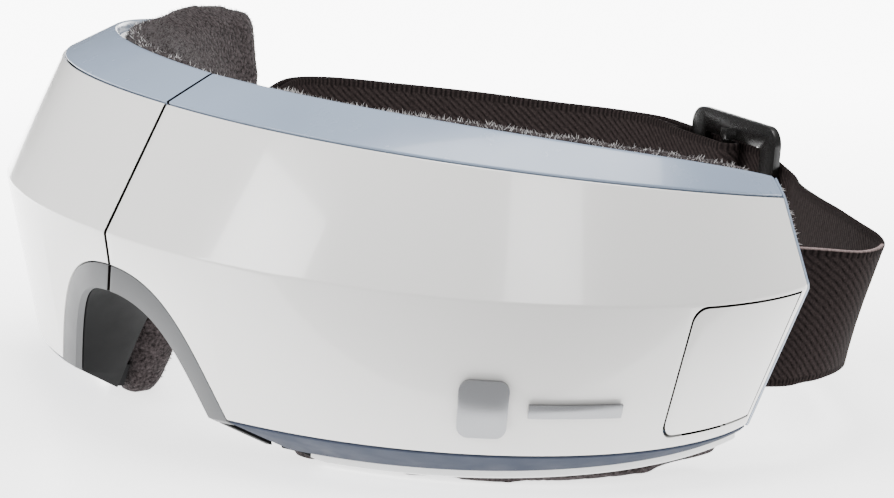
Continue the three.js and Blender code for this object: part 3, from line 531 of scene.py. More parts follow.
def fold_cutter(side):
    """The wedge behind the pin that must be clear for the halves to fold together."""
    middle, back = -FOLD_CUT["past_middle"], PIN_SETBACK + FOLD_CUT["reach"]
    far = FOLD_CUT["reach"] * math.tan(FOLD_HALF)
    outline = [(middle, PIN_SETBACK), (0, PIN_SETBACK), (far, back), (middle, back)]
    return prism("cutter", outline, lambda x, y, z: (x, y, z), FOLD_CUT["foot"], FOLD_CUT["head"], side)


def hinge_pockets(side):
    """Room in the seam wall for the hinge: a round hole for its knuckles and a slot for their arms."""
    radius, sides = POCKET["radius"], POCKET["sides"]
    turns = [2 * math.pi * i / sides for i in range(sides)]
    hole = [(radius * math.cos(a), PIN_SETBACK + radius * math.sin(a)) for a in turns]
    near, far = PIN_SETBACK - ARM_SLOT["front"], PIN_SETBACK - ARM_SLOT["back"]
    slot = [(-1, near), (ARM_SLOT["reach"], near), (ARM_SLOT["reach"], far), (-1, far)]
    return [
        prism("cutter", outline, lambda x, y, z: (x, y, z), POCKET["foot"], POCKET["head"], side)
        for outline in (hole, slot)
    ]


def facet_block(name, place, low, high, grow=0.0, both=False):
    """A block on the right half's lower facet between two heights.

    The corners at its first end are round if the place has a corner_t, and at both ends if both is set.
    """
    corner_t = place.get("corner_t", 0)
    t0, t1 = place["t"][0] - grow / RIDGE_LENGTH, place["t"][1] + grow / RIDGE_LENGTH
    v0, v1 = place["v"][0] - grow / FACET_SPAN, place["v"][1] + grow / FACET_SPAN
    round_v = corner_t * RIDGE_LENGTH / ROUND_SPAN
    rings = []
    for i in range(BLOCK_STEPS):
        u = 0.5 - 0.5 * math.cos(math.pi * i / (BLOCK_STEPS - 1))
        t = t0 + (t1 - t0) * u
        from_end = min(t - t0, t1 - t) if both else t - t0
        into = min(from_end / corner_t, 1) if corner_t else 1
        drop = round_v * (1 - math.sqrt(max(0, 1 - (1 - into) ** 2)))
        rings.append(
            [facet_point(t, v) + facet_normal(t, v) * h
             for v, h in ((v0 + drop, low), (v0 + drop, high), (v1 - drop, high), (v1 - drop, low))]
        )
    return loft(name, rings)


# ---- hard shells ----

FINE = np.linspace(SEAM, 1, 90)
END_BLOCK_FROM = 0.985
BEZEL_FRAME = 5
BEZEL_WINDOW = (0.13, 0.9)
BEZEL_LIP = 1.2  # how far the white frame shows below the housing's lower band
LIP_FROM, LIP_RUN = 0.19, 0.05
BEZEL_SINK = 2.5  # how far the white frame stays below the top rim, so that the plush meets it
SEAM_REACH = 0.0006
# up to this height the housing wears the darker copy of its blue, as painted shade
LOWER_BAND_TOP = 0.03
BAR_END_X = 0.036  # the frame's lower bars are dark from here to the nose
SHARP = 32  # the angle above which a shell's edge is drawn sharp
KEY_MIDDLE = (0.87, 0.45)
KEY_NORMAL = Vector(lean_back(facet_normal(*KEY_MIDDLE))).normalized()
KEY_REGION = {  # a box round the gap at the key, in metres
    "from_x": placed(facet_point(KEY["t"][0] - 0.008, KEY["v"][1]))[0],
    "to_x": placed(facet_point(KEY["t"][1] + 0.0035, KEY["v"][0]))[0] + 0.0003,
    "below_z": placed(facet_point(KEY_MIDDLE[0], 0))[2] + 0.001,
}


def cover_section(t):
    outer = [corner(n, t) for n in ("bottomEdge", "ridge", "topEdge")]
    inner = [inner_corner(n, t) for n in ("topEdge", "ridge", "bottomEdge")]
    return filleted(drawn_in(outer, GAP / 2) + drawn_in(inner, GAP / 2), [0.4, 1.5, 0.4, 0.1, 1, 0.1])


def housing_corners(t):
    outer = [corner(n, t) for n in ("topEdge", "topRim", "bottomRim", "bottomEdge")]
    inner = [inner_corner(n, t) for n in ("bottomEdge", "bottomRim", "topRim", "topEdge")]
    return drawn_in(outer, GAP / 2), drawn_in(inner, GAP)


def housing_section(t):
    outer, inner = housing_corners(t)
    return filleted(outer + inner, [0.4, 0.9, 0.9, 0.4, 0.1, 0.5, 0.5, 0.1])


def solid_section(t):
    outer = housing_corners(t)[0]
    behind = [inner_corner(n, t, WALL + GAP) for n in ("bottomEdge", "ridge", "topEdge")]
    behind[0] = pulled(behind[0], inner_corner("bottomRim", t), GAP / 2)
    behind[2] = pulled(behind[2], inner_corner("topRim", t), GAP / 2)
    return filleted(outer + behind, [0.4, 0.9, 0.9, 0.4, 0.1, 1, 0.1])


def bezel_section(t, inset):
    top, bottom = corner("topRim", t), corner("bottomRim", t)
    extra = 1 if inset else 0
    drop = 0 if inset else BEZEL_LIP * eased((t - LIP_FROM) / LIP_RUN)
    front, back = GAP - extra, GAP + BEZEL_THICKNESS + extra
    points = [
        (bottom[0] + front, bottom[1] + inset - drop), (top[0] + front, top[1] - inset - BEZEL_SINK),
        (top[0] + back, top[1] - inset - BEZEL_SINK), (bottom[0] + back, bottom[1] + inset - drop),
    ]
    return filleted(points, [0 if inset else 0.4] * 4)


def wear(obj, material_slot):
    obj.data.materials.clear()
    obj.data.materials.append(MATERIALS[material_slot])


def hard(obj, body, node, material_slot):
    """Gives a piece its look and slot, the body it rides and the CAD node it stands for."""
    wear(obj, material_slot)
    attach(obj, body)
    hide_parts(node)


def paint(obj, look, chosen):
    """Gives another look to the faces that chosen(centre, normal) picks."""
    obj.data.materials.append(MATERIALS[look])
    index = len(obj.data.materials) - 1
    for face in obj.data.polygons:
        if chosen(face.center, face.normal):
            face.material_index = index


# the seam's side faces, which get painted shade
def in_seam(centre, normal):
    return abs(centre.x) < SEAM_REACH and abs(normal.x) > 0.6


def on_key_side(centre, normal):
    return abs(normal @ KEY_NORMAL) < 0.5


def in_key_gap(centre, normal):
    within = KEY_REGION["from_x"] < centre.x < KEY_REGION["to_x"] and centre.z < KEY_REGION["below_z"]
    return within and on_key_side(centre, normal)


def in_lower_band(centre, normal):
    return centre.z < LOWER_BAND_TOP


def in_bar_end(centre, normal):
    return in_lower_band(centre, normal) and abs(centre.x) < BAR_END_X


def jack_hole(side):
    """The charging socket's opening in the underside, a box turned along the ridge."""
    rim, edge = corner("bottomRim", JACK["t"]), corner("bottomEdge", JACK["t"])
    centre = half_point(JACK["t"], (rim[0] + edge[0]) / 2, (rim[1] + edge[1]) / 2 + JACK["lift"])
    along = np.array([*ridge_at(JACK["t"])[1], 0])
    across = np.array([-along[1], along[0], 0]) * JACK["half_depth"]
    along = along * JACK["half_length"]
    corners = ((-1, -1), (1, -1), (1, 1), (-1, 1))
    rings = [
        [centre + along * a + across * b + np.array([0, 0, z]) for a, b in corners]
        for z in (-JACK["half_height"], JACK["half_height"])
    ]
    return loft("cutter", rings, side)


def build_shells(word, side):
    body = f"{word}_half"
    cover = sweep(f"{word}_cover_shell", FINE, cover_section, side)
    cut(cover, nose_cutter(GAP, side))
    cut(cover, fold_cutter(side))
    if side == 1:
        cut(cover, facet_block("cutter", KEY, -5, 2, grow=KEY["gap"]))
    round_edges(cover, 0.45, angle=50, smooth=SHARP)
    hard(cover, body, f"{word}_front_cover", "white_shell")
    # painted shade on the seam's faces and, on the right, in the gap round the key
    paint(cover, "seam_painted_shade", in_seam)
    if side == 1:
        paint(cover, "seam_painted_shade", in_key_gap)

    housing = sweep(f"{word}_housing_shell", FINE, housing_section, side)
    cut(housing, sweep("block", np.linspace(SEAM, BULKHEAD, 3), solid_section, side), "UNION")
    cut(housing, sweep("block", np.linspace(END_BLOCK_FROM, 1, 3), solid_section, side), "UNION")
    cut(housing, nose_cutter(GAP, side))
    cut(housing, fold_cutter(side))
    for pocket in hinge_pockets(side):
        cut(housing, pocket)
    if side == 1:
        square_key = {"t": KEY["t"], "v": KEY["v"]}
        cut(housing, facet_block("cutter", square_key, -KEY["thickness"] - KEY["travel"] - GAP, 1, grow=1))
    else:
        cut(housing, jack_hole(side))
    soften(housing, SHARP)
    hard(housing, body, f"{word}_rear_housing", "blue_housing")
    # painted shade: the lower band gets the darker copy of the blue
    paint(housing, "lower_band_painted_shade", in_lower_band)
    # painted shade on the seam's faces
    paint(housing, "seam_painted_shade", in_seam)

    bezel = sweep(f"{word}_bezel_frame", FINE, lambda t: bezel_section(t, 0), side)
    window = np.linspace(*BEZEL_WINDOW, 40)
    cut(bezel, sweep("window", window, lambda t: bezel_section(t, BEZEL_FRAME), side))
    cut(bezel, nose_cutter(-TRIM_WIDTH + GUARD_THICKNESS + GAP, side))
    cut(bezel, fold_cutter(side))
    soften(bezel, SHARP)
    hard(bezel, body, f"{word}_pad_bezel", "bezel_white")
    paint(bezel, "guard_dark", in_bar_end)


for word, side in SIDES.items():
    build_shells(word, side)


# ---- nose trims and guards ----

BAND_REACH = 8  # how far the band's cutter passes the rim and the edge
BAND_FLOOR = -30
STRIP_START_X = 0.45  # half of the gap between the two trims
DEPTH_START_X = 0.5  # the facet's depth isn't read nearer to the middle than this


def arch_to_floor(distance):
    points = arch(distance)
    way = bezier(NOSE_ARCH, 1)[1]
    last = points[-1]
    return [*points, *(last + way * (share * last[1]) / -way[1] for share in (0.5, 1))]


def below_band(side):
    def section(t):
        edge, rim = corner("bottomEdge", t), corner("bottomRim", t)
        front, back = pulled(edge, rim, -BAND_REACH), pulled(rim, edge, -BAND_REACH)
        return [front, back, np.array([back[0], BAND_FLOOR]), np.array([front[0], BAND_FLOOR])]
    return sweep("band", np.linspace(SEAM, 0.4, 30), section, side)


def arch_strip(name, first, second, depths, side):
    """A strip between two distances from the arch; depths gives its four corners' depths."""
    edge, near, far = arch_to_floor(0), arch_to_floor(first), arch_to_floor(second)
    rings = []
    for e, n, f in zip(edge, near, far):
        front = facet_depth(max(e[0], DEPTH_START_X), max(e[1], corner("bottomEdge", 0)[1]))
        a, b, c, d = depths(front)
        near_x, far_x = max(n[0], STRIP_START_X), max(f[0], STRIP_START_X)
        rings.append([(near_x, a, n[1]), (far_x, b, f[1]), (far_x, c, f[1]), (near_x, d, n[1])])
    strip = loft(name, rings, side)
    cut(strip, below_band(side))
    return strip


def build_nose(word, side):
    body = f"{word}_half"
    trim = arch_strip(
        f"{word}_trim_strip", 0, -TRIM_WIDTH,
        lambda f: (f, f + TRIM_BEVEL, f + TRIM_BEVEL + TRIM_THICKNESS, f + TRIM_THICKNESS), side,
    )
    round_edges(trim, 0.25)
    hard(trim, body, f"{word}_nose_trim", "trim_grey")
    # painted shade on the seam's faces
    paint(trim, "seam_painted_shade", in_seam)
    back = CORNERS["bottomRim"][0][0] + GAP + BEZEL_THICKNESS
    lead = TRIM_BEVEL + TRIM_THICKNESS + GAP
    guard = arch_strip(
        f"{word}_guard_wall", -TRIM_WIDTH, -TRIM_WIDTH + GUARD_THICKNESS,
        lambda f: (f + lead, f + lead, back, back), side,
    )
    cut(guard, fold_cutter(side))
    round_edges(guard, 0.25)
    hard(guard, body, f"{word}_nose_guard", "guard_dark")


for word, side in SIDES.items():
    build_nose(word, side)

# ---- key and badges ----

key = facet_block("key_cap", KEY, -KEY["thickness"], 0)
round_edges(key, 0.3)
hard(key, "control_key", "control_key", "white_shell")
# painted shade on the key's sides, which stand in its gap
paint(key, "seam_painted_shade", on_key_side)
plate = facet_block("badge_soft_square", BADGE, *BADGE_HEIGHTS, both=True)
round_edges(plate, 0.3, segments=3)
hard(plate, "right_half", "badge_plate", "chrome")
slim_bar = facet_block("badge_slim_bar", BADGE_BAR, *BADGE_HEIGHTS)
round_edges(slim_bar, 0.3, segments=3)
hard(slim_bar, "right_half", "badge_bar", "chrome")

# ---- plush pads ----

PAD_VOXEL = 0.0022
PAD_SWELL_CAP = 0.0012
PAD_PRESSURE = 4
PAD_STIFFNESS = 25
SIM_FRAMES = 20
HUMP_RISE = 0.0038  # how much higher the left pad stands at its temple end
HUMP_FROM, HUMP_RUN = 0.55, 0.3
PAD_SINK = 0.0012  # how far the pad's lower edge hangs below the white frame
SINK_FROM, SINK_RUN = 0.014, 0.006
TOP_SLOPE = 0.14  # how fast the right pad's top falls away towards the head
TOP_FADE = 0.012
PILE_LENGTHS = {"plush": (0.0003, 0.0008), "pile_painted_highlight": (0.0003, 0.0012)}
PILE_COUNT = 26000
PILE_FLOOR = 0.0016  # no fibres below this height, where the pad stands
PILE_LEAN = 0.45
FIBRE_HALF_WIDTH = 0.00007
FRINGE_COUNT = {"right": 1000, "left": 350}
FRINGE_SETBACK = 3.4
FRINGE_BAND = 0.0011
FRINGE_FLOOR = 0.045
EDGE_T = (1.0015, 1.006)
WELT_T = 1.0095
WELT_RADIUS = 0.5
WELT_FIBRES = 130
END_ROUND_STEPS = 8
END_STEPS, END_SKIP = 60, 2


def inflate(obj):
    """A short cloth simulation that crowns the pad, with each point's move capped."""
    rest = np.array([v.co for v in obj.data.vertices])
    cloth = obj.modifiers.new("cloth", "CLOTH")
    cloth.settings.use_pressure = True
    cloth.settings.uniform_pressure_force = PAD_PRESSURE
    cloth.settings.effector_weights.gravity = 0
    cloth.settings.tension_stiffness = PAD_STIFFNESS
    cloth.settings.compression_stiffness = PAD_STIFFNESS
    scene = bpy.context.scene
    for number in range(1, SIM_FRAMES + 1):
        scene.frame_set(number)
    apply_modifiers(obj)
    scene.frame_set(1)
    moved = np.array([v.co for v in obj.data.vertices])
    shift = moved - rest
    length = np.linalg.norm(shift, axis=1, keepdims=True)
    shift *= np.minimum(1, PAD_SWELL_CAP / np.maximum(length, 1e-9))
    obj.data.vertices.foreach_set("co", (rest + shift).ravel().astype(np.float32))
    obj.data.update()


def rim_line(ts, setback, side):
    """The top rim moved back by a distance."""
    return placed([half_point(t, corner("topRim", t)[0] + setback, corner("topRim", t)[1]) for t in ts], side)


def shape_pad(pad, word):
    """The left pad stands up at the temple, the right pad's top falls away, and both hang at the bottom."""
    side = SIDES[word]
    ts = np.linspace(0, 1, 160)
    rim = rim_line(ts, PAD_FRONT, side)
    inward = np.array([[-ridge_at(t)[1][1] * side, ridge_at(t)[1][0]] for t in ts])
    for vertex in pad.data.vertices:
        offset = np.array(vertex.co[:2]) - rim[:, :2]
        near = int(np.argmin((offset**2).sum(1)))
        height_share = clamped((vertex.co.z - rim[near, 2] + TOP_FADE) / TOP_FADE)
        if word == "left":
            vertex.co.z += HUMP_RISE * eased((ts[near] - HUMP_FROM) / HUMP_RUN) * height_share
        else:
            depth = max(float(offset[near] @ inward[near]), 0)
            vertex.co.z -= TOP_SLOPE * depth * height_share
        vertex.co.z -= PAD_SINK * clamped((SINK_FROM - vertex.co.z) / SINK_RUN)


def pile(pad, name, body, count, seed, look="plush", rows=None):
    """Short tapered fibres standing on a soft piece, leaning at random."""
    rng = np.random.default_rng(seed)
    mesh = pad.data
    mesh.calc_loop_triangles()
    co = np.array([v.co for v in mesh.vertices])
    normals = np.array([v.normal for v in mesh.vertices])
    tris = np.array([t.vertices for t in mesh.loop_triangles])
    area = np.linalg.norm(np.cross(co[tris[:, 1]] - co[tris[:, 0]], co[tris[:, 2]] - co[tris[:, 0]]), axis=1)
    middle = co[tris].mean(1)
    facing = normals[tris].mean(1)
    shown = (middle[:, 2] > PILE_FLOOR) & (facing[:, 2] > -0.5)
    if rows is not None:
        shown &= rows(middle, facing)
    area = area * shown
    pick = rng.choice(len(tris), count, p=area / area.sum())
    share = rng.dirichlet((1, 1, 1), count)
    root = (co[tris[pick]] * share[..., None]).sum(1)
    out = (normals[tris[pick]] * share[..., None]).sum(1)
    way = out + rng.normal(0, PILE_LEAN, (count, 3))
    way /= np.linalg.norm(way, axis=1, keepdims=True)
    across = np.cross(way, rng.normal(0, 1, (count, 3)))
    across /= np.linalg.norm(across, axis=1, keepdims=True)
    tall = rng.uniform(*PILE_LENGTHS[look], (count, 1))
    across *= FIBRE_HALF_WIDTH
    verts = np.stack([root - across, root + across, root + way * tall], 1).reshape(-1, 3)
    faces = np.arange(3 * count).reshape(-1, 3)
    obj = new_object(name, verts, faces, smooth=180)
    obj.data.materials.append(MATERIALS[look])
    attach(obj, body)


def high_up(middle, facing):
    return middle[:, 2] > FRINGE_FLOOR


def rim_rows(side):
    """The row of the pad that lies just behind the top rim."""
    rim = rim_line(np.linspace(0.02, 0.99, 300), FRINGE_SETBACK, side)

    def rows(middle, facing):
        away = np.linalg.norm(middle[:, None, :2] - rim[None, ::3, :2], axis=2).min(1)
        return (away < FRINGE_BAND) & high_up(middle, facing) & (facing[:, 2] > 0.1)
    return rows


def build_pad(word, seed):
    pad = remeshed(f"{word}_face_pad", f"{word}_plush_pad", PAD_VOXEL, 4)
    inflate(pad)
    finer = pad.modifiers.new("finer", "SUBSURF")
    finer.levels = 1
    apply_modifiers(pad)
    shape_pad(pad, word)
    for vertex in pad.data.vertices:
        vertex.co.z = max(vertex.co.z, 0)
    pad.data.shade_smooth()
    hard(pad, f"{word}_half", f"{word}_face_pad", "plush")
    pile(pad, f"{word}_pad_pile", f"{word}_half", PILE_COUNT, seed)
    # pale fibres behind the top rim, pale as a painted highlight
    pile(pad, f"{word}_rim_highlight_fringe", f"{word}_half", FRINGE_COUNT[word], seed + 10, "pile_painted_highlight",
         rim_rows(SIDES[word]))


def end_outline(wall):
    """The shell's outline over its temple end, from the top rim down past the ridge."""
    names = ("topRim", "topEdge", "ridge", "bottomEdge")
    points = [corner(n, 1) if wall == 0 else inner_corner(n, 1, wall) for n in names]
    rounded = filleted([*points, points[0]], [0, 3, 1.5, 0, 0], END_ROUND_STEPS)
    per_corner = END_ROUND_STEPS + 1
    middle_corners = rounded[per_corner:3 * per_corner]
    return evenly([points[0], *middle_corners, points[3]], END_STEPS)[END_SKIP:]


def build_end_edge(word, side, seed):
    """The edge and the thin plush welt that show past the shell's temple end."""
    outer, inner = end_outline(0), end_outline(WALL)
    start, stop = EDGE_T
    strip = [
        [half_point(t, *p) for t, p in ((start, a), (stop, a), (stop, b), (start, b))]
        for a, b in zip(outer, inner)
    ]
    edge = loft(f"{word}_end_edge", strip, side)
    wear(edge, "blue_housing")
    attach(edge, f"{word}_half")
    along = np.array([*ridge_at(1)[1], 0])
    rings = []
    for a, b in zip(outer, inner):
        centre = half_point(WELT_T, *(a + (b - a) * 0.45))
        across = half_point(1, *a) - half_point(1, *b)
        across /= np.linalg.norm(across)
        rings.append([centre + WELT_RADIUS * (along * math.cos(q) + across * math.sin(q))
                      for q in np.linspace(0, 2 * math.pi, 12, endpoint=False)])
    welt = loft(f"{word}_end_welt", rings, side, smooth=70)
    wear(welt, "plush")
    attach(welt, f"{word}_half")
    # pale fibres on the welt, pale as a painted highlight
    pile(welt, f"{word}_welt_highlight_fringe", f"{word}_half", WELT_FIBRES, seed, "pile_painted_highlight", high_up)


for offset, word in enumerate(SIDES):
    build_pad(word, SEED + offset)
    build_end_edge(word, SIDES[word], SEED + 20 + offset)

# ---- the gusset behind the hinge pin ----

GUSSET_VOXEL = 0.00025
PLEAT_DEPTH, PLEAT_PITCH = 0.0002, 0.003


def build_gusset():
    """A narrow knitted strip with soft pleats."""
    gusset = remeshed("bridge_gusset", "bridge_gusset_knit", GUSSET_VOXEL, 3)
    for vertex in gusset.data.vertices:
        vertex.co.y += PLEAT_DEPTH * (math.cos(2 * math.pi * vertex.co.z / PLEAT_PITCH) - 1) / 2
    gusset.data.shade_smooth()
    wear(gusset, "plush")
    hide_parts("bridge_gusset")
    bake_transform(gusset)


build_gusset()

# ---- strap, slider and end loop ----

STRAP = {"width": 27.7, "thickness": 1.4, "layer_gap": 0.35}
BRACKET = {"t": 0.955, "bar_lift": 6.4, "bar_radius": 1.1}
LOOP_HEIGHTS = (37.7, 38.15)
STRAP_ROUTE = [
    (83, 95, 37.7), (84.8, 101.5, 37.7), (86.8, 108, 37.8), (87, 114, 37.9), (84.6, 120.3, 38.3),
    (78.3, 127, 38.4), (67.8, 133.8, 38.4), (54, 141.5, 38.2), (38, 149.8, 37.7), (22, 158.9, 37.3),
    (12.5, 165.1, 37.7), (2, 166.61, 40.2), (-8, 168.01, 40.8), (-18, 169.41, 40.8),
    (-28, 170.81, 40.8), (-40, 172.49, 40.7), (-52, 168.6, 40.4), (-64, 160.5, 40.1),
    (-77, 149.4, 40.2), (-88, 135.5, 40.4), (-94.3, 121, 40.9), (-93.2, 110, 41),
    (-88.2, 101.5, 40.2), (-83.4, 95, 39),
]
TURN = {"x": 85.5, "y": 116, "spread": 18, "starts": 98, "full": 112, "lean": (0.183, 0.237)}
SLIDER = {"x": -7.2, "y": 167.9, "z": 40.8, "length": 33, "height": 38.8, "rail": 5.5, "end_rail": 5,
          "thickness": 1.6, "corner": 4, "lift": 1.85, "bar_lift": 3.95, "bar_radius": 1.2,
          "bar_tuck": 0.8, "post": (0.2, 2.4)}
SLIDER_ALONG = np.array([-0.9904, 0.1387, 0]) / math.hypot(0.9904, 0.1387)
END_LOOP = {"back_ply": 5.5, "front_ply": 20, "return_stop": 19, "return_raised": 12, "return_level": 32}
BAR_WRAP = BRACKET["bar_radius"] + 0.2 + STRAP["thickness"] / 2
TURN_STEPS = 20
TAIL_STEPS = 15
LOOP_CLOSING = 6  # the distance over which a loop's two sides come together
STRAP_STEP = 0.42  # between the woven mesh's points
NEAR_RUN = {"from_x": 60, "to_y": 121}
BEHIND_HEAD_Y = 150
TWILL_PITCH = 1.15
TWILL_SLOPE = (0.62, 0.785)
TWILL_HEIGHT = 0.17
YARN_PITCH = 0.95
YARN_SHARE = 0.1
SELVEDGE = 1.5
SELVEDGE_PITCH = 1.1
EDGE_THINNING = 0.45  # the share of the thickness that is left at the very edge
EDGE_TAPER = 0.5
# how light the painted highlight on the near run's upper edge is
EDGE_PAINTED_HIGHLIGHT = 0.8
RIB_PAINTED_SHADE = 0.075  # how light a rib's top is; the grooves fall darker from it as painted shade, against the painted highlight on the upper edge


def back_setback(t, z):
    top, bottom = corner("topRim", t), corner("bottomRim", t)
    return bottom[0] + (top[0] - bottom[0]) * (z - bottom[1]) / (top[1] - bottom[1])


def bracket_frame():
    def on_back(t):
        return half_point(t, back_setback(t, LOOP_HEIGHTS[0]), 0)
    along = on_back(BRACKET["t"] + 0.02) - on_back(BRACKET["t"] - 0.02)
    along /= np.linalg.norm(along)
    return on_back(BRACKET["t"]), along, np.array([-along[1], along[0], 0])


def bar_turn(side, height):
    """The strap's turn round a bracket's bar, from its head side round to its outer side."""
    place, along, inward = bracket_frame()
    centre = place + inward * BRACKET["bar_lift"]
    points = []
    for i in range(TURN_STEPS):
        angle = math.pi * i / (TURN_STEPS - 1)
        point = centre + inward * math.cos(angle) * BAR_WRAP - along * math.sin(angle) * BAR_WRAP
        points.append(np.array([side * point[0], point[1], height]))
    return points


def between(t, start, stop, first, second):
    return ((stop - t) * first + (t - start) * second) / (stop - start)


def smooth_curve(points, spacing):
    """A centripetal curve through the points, evenly spaced."""
    pts = [np.asarray(p, float) for p in points]
    pts = [2 * pts[0] - pts[1], *pts, 2 * pts[-1] - pts[-2]]
    dense = []
    for p0, p1, p2, p3 in zip(pts, pts[1:], pts[2:], pts[3:]):
        k = [0.0]
        for a, b in ((p0, p1), (p1, p2), (p2, p3)):
            k.append(k[-1] + max(np.linalg.norm(b - a), 1e-6) ** 0.5)
        for t in np.linspace(k[1], k[2], 40, endpoint=False):
            a1 = between(t, k[0], k[1], p0, p1)
            a2 = between(t, k[1], k[2], p1, p2)
            a3 = between(t, k[2], k[3], p2, p3)
            b1, b2 = between(t, k[0], k[2], a1, a2), between(t, k[1], k[3], a2, a3)
            dense.append(between(t, k[1], k[2], b1, b2))
    dense.append(pts[-2])
    return evenly(dense, spacing=spacing)


def strap_run():
    """A sewn tail and loop at the right bracket, round the head, and the second layer to the slider."""
    right_turn = bar_turn(1, LOOP_HEIGHTS[0])
    left_turn = bar_turn(-1, LOOP_HEIGHTS[1])[::-1]
    main = smooth_curve([right_turn[-1], *STRAP_ROUTE, left_turn[0]], 1.0)
    step = np.linalg.norm(main[1] - main[0])
    last = len(main) - 1
    stop_x = SLIDER["x"] - END_LOOP["return_stop"]
    stop = next(i for i, p in enumerate(main) if p[1] > BEHIND_HEAD_Y and p[0] < stop_x)
    layer = STRAP["thickness"] + STRAP["layer_gap"]
    raised, level = END_LOOP["return_raised"], END_LOOP["return_level"]

    def spacing(from_bar, from_slider):
        levelled = (from_slider - raised) / (level - raised)
        at_bar = (2 * BAR_WRAP - layer) * math.exp(-from_bar / LOOP_CLOSING)
        return layer + at_bar + (SLIDER["bar_lift"] - layer) * (1 - eased(levelled))

    def head_side(i, distance):
        along = main[min(i + 1, last)] - main[i - 1]
        along[2] = 0
        along /= np.linalg.norm(along)
        return main[i] + np.array([-along[1], along[0], 0]) * distance

    tail = [head_side(i, spacing(i * step, level)) for i in range(TAIL_STEPS, 0, -1)]
    back = [
        head_side(i, spacing((last - i) * step, (i - stop) * step)) for i in range(last - 1, stop - 1, -1)
    ]
    return np.array([*tail, *right_turn, *main[1:last], *left_turn, *back])


def strap_up(point):
    away = math.hypot(point[0] - TURN["x"], point[1] - TURN["y"]) / TURN["spread"]
    share = eased((point[1] - TURN["starts"]) / (TURN["full"] - TURN["starts"])) * math.exp(-away * away)
    up = np.array([TURN["lean"][0] * share, TURN["lean"][1] * share, 1])
    return up / np.linalg.norm(up)


def twill(along, across):
    """How far the weave stands out, in millimetres: diagonal ribs, and cross ribs on the selvedges."""
    edge = STRAP["width"] / 2 - abs(across)
    if edge < SELVEDGE:
        return 0.5 * TWILL_HEIGHT * math.sin(2 * math.pi * along / SELVEDGE_PITCH)
    less, more = TWILL_SLOPE
    rib = abs(math.sin(math.pi * (along * less - across * more) / TWILL_PITCH)) ** 0.7
    yarn = YARN_SHARE * math.sin(2 * math.pi * (along * more - across * less) / YARN_PITCH)
    return TWILL_HEIGHT * (rib - 0.5 + yarn)


def on_near_run(point):
    """Between the right bracket and the turn, where the upper edge gets a painted highlight."""
    return point[0] > NEAR_RUN["from_x"] and point[1] < NEAR_RUN["to_y"]


def woven_band(name, run, up_at):
    """A flat band standing on edge along a run, woven on both faces."""
    run = evenly(run, spacing=STRAP_STEP)
    half = STRAP["width"] / 2
    across = np.linspace(-half, half, int(STRAP["width"] / STRAP_STEP))
    ways = np.gradient(run, axis=0)
    ways[:, 2] = 0
    ways /= np.linalg.norm(ways, axis=1, keepdims=True)
    rings, painted_light_values = [], []
    for i, (point, way) in enumerate(zip(run, ways)):
        up, side = up_at(point), np.array([-way[1], way[0], 0])
        along = i * STRAP_STEP
        face = []
        for out in (1, -1):
            for a in across if out > 0 else across[::-1]:
                taper = min(1.0, EDGE_THINNING + (half - abs(a)) / EDGE_TAPER)
                rib = twill(along, out * a)
                lift = (STRAP["thickness"] / 2 - TWILL_HEIGHT) * taper + rib
                face.append(point + up * a + side * out * lift)
                # a painted highlight on the near run's upper edge, and painted shade in the grooves elsewhere
                highlighted_edge = half - a < 0.01 and on_near_run(point)
                painted_light_values.append(EDGE_PAINTED_HIGHLIGHT if highlighted_edge else RIB_PAINTED_SHADE * clamped(rib / TWILL_HEIGHT + 0.5))
        rings.append(face)
    obj = loft(name, rings, 1, smooth=60, weld=False)
    wear(obj, "webbing")
    kept = obj.data.attributes.new(WEAVE_PAINTED_LIGHT, "FLOAT", "POINT")
    kept.data.foreach_set("value", np.array(painted_light_values, np.float32))
    return obj


strap_piece = woven_band("woven_strap", strap_run(), strap_up)
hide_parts("head_strap")
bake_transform(strap_piece)


def in_slider_frame(points):
    head_side = np.array([-SLIDER_ALONG[1], SLIDER_ALONG[0], 0])
    centre = np.array([SLIDER["x"], SLIDER["y"], SLIDER["z"]])
    p = np.asarray(points, float)
    return centre + p[..., :1] * SLIDER_ALONG + p[..., 1:2] * head_side + p[..., 2:] * np.array([0, 0, 1])


def rounded_rectangle(width, height, radius, steps=8):
    x, y = width / 2 - radius, height / 2 - radius
    points = []
    for cx, cy, start in ((x, -y, -90), (x, y, 0), (-x, y, 90), (-x, -y, 180)):
        for i in range(steps + 1):
            angle = math.radians(start + 90 * i / steps)
            points.append((cx + radius * math.cos(angle), cy + radius * math.sin(angle)))
    return points


def slider_block(name, outline, low, high):
    rings = [in_slider_frame([(p[0], depth, p[1]) for p in outline]) for depth in (low, high)]
    return loft(name, rings)


def build_slider():
    s = SLIDER
    low, high = s["lift"] - s["thickness"] / 2, s["lift"] + s["thickness"] / 2
    frame_piece = slider_block(
        "ladder_slider", rounded_rectangle(s["length"], s["height"], s["corner"]), low, high)
    window = rounded_rectangle(s["length"] - 2 * s["rail"], s["height"] - 2 * s["end_rail"], 1)
    cut(frame_piece, slider_block("cutter", window, low - 1, high + 1))
    bar_end = s["height"] / 2 - s["end_rail"]
    circle = [(s["bar_radius"] * math.cos(a), s["bar_lift"] + s["bar_radius"] * math.sin(a))
              for a in np.linspace(0, 2 * math.pi, 24, endpoint=False)]
    tip = bar_end + s["bar_tuck"]
    rings = [in_slider_frame([(c[0], c[1], z) for c in circle]) for z in (-tip, tip)]
    cut(frame_piece, loft("cutter", rings), "UNION")
    for end in (-1, 1):
        z0, z1 = sorted(end * (bar_end + past) for past in s["post"])
        post = [(-s["bar_radius"], z0), (s["bar_radius"], z0), (s["bar_radius"], z1), (-s["bar_radius"], z1)]
        cut(frame_piece, slider_block("cutter", post, s["lift"], s["bar_lift"] + s["bar_radius"]), "UNION")
    round_edges(frame_piece, 0.2)
    hard(frame_piece, "slider", "strap_slider", "slider_black")


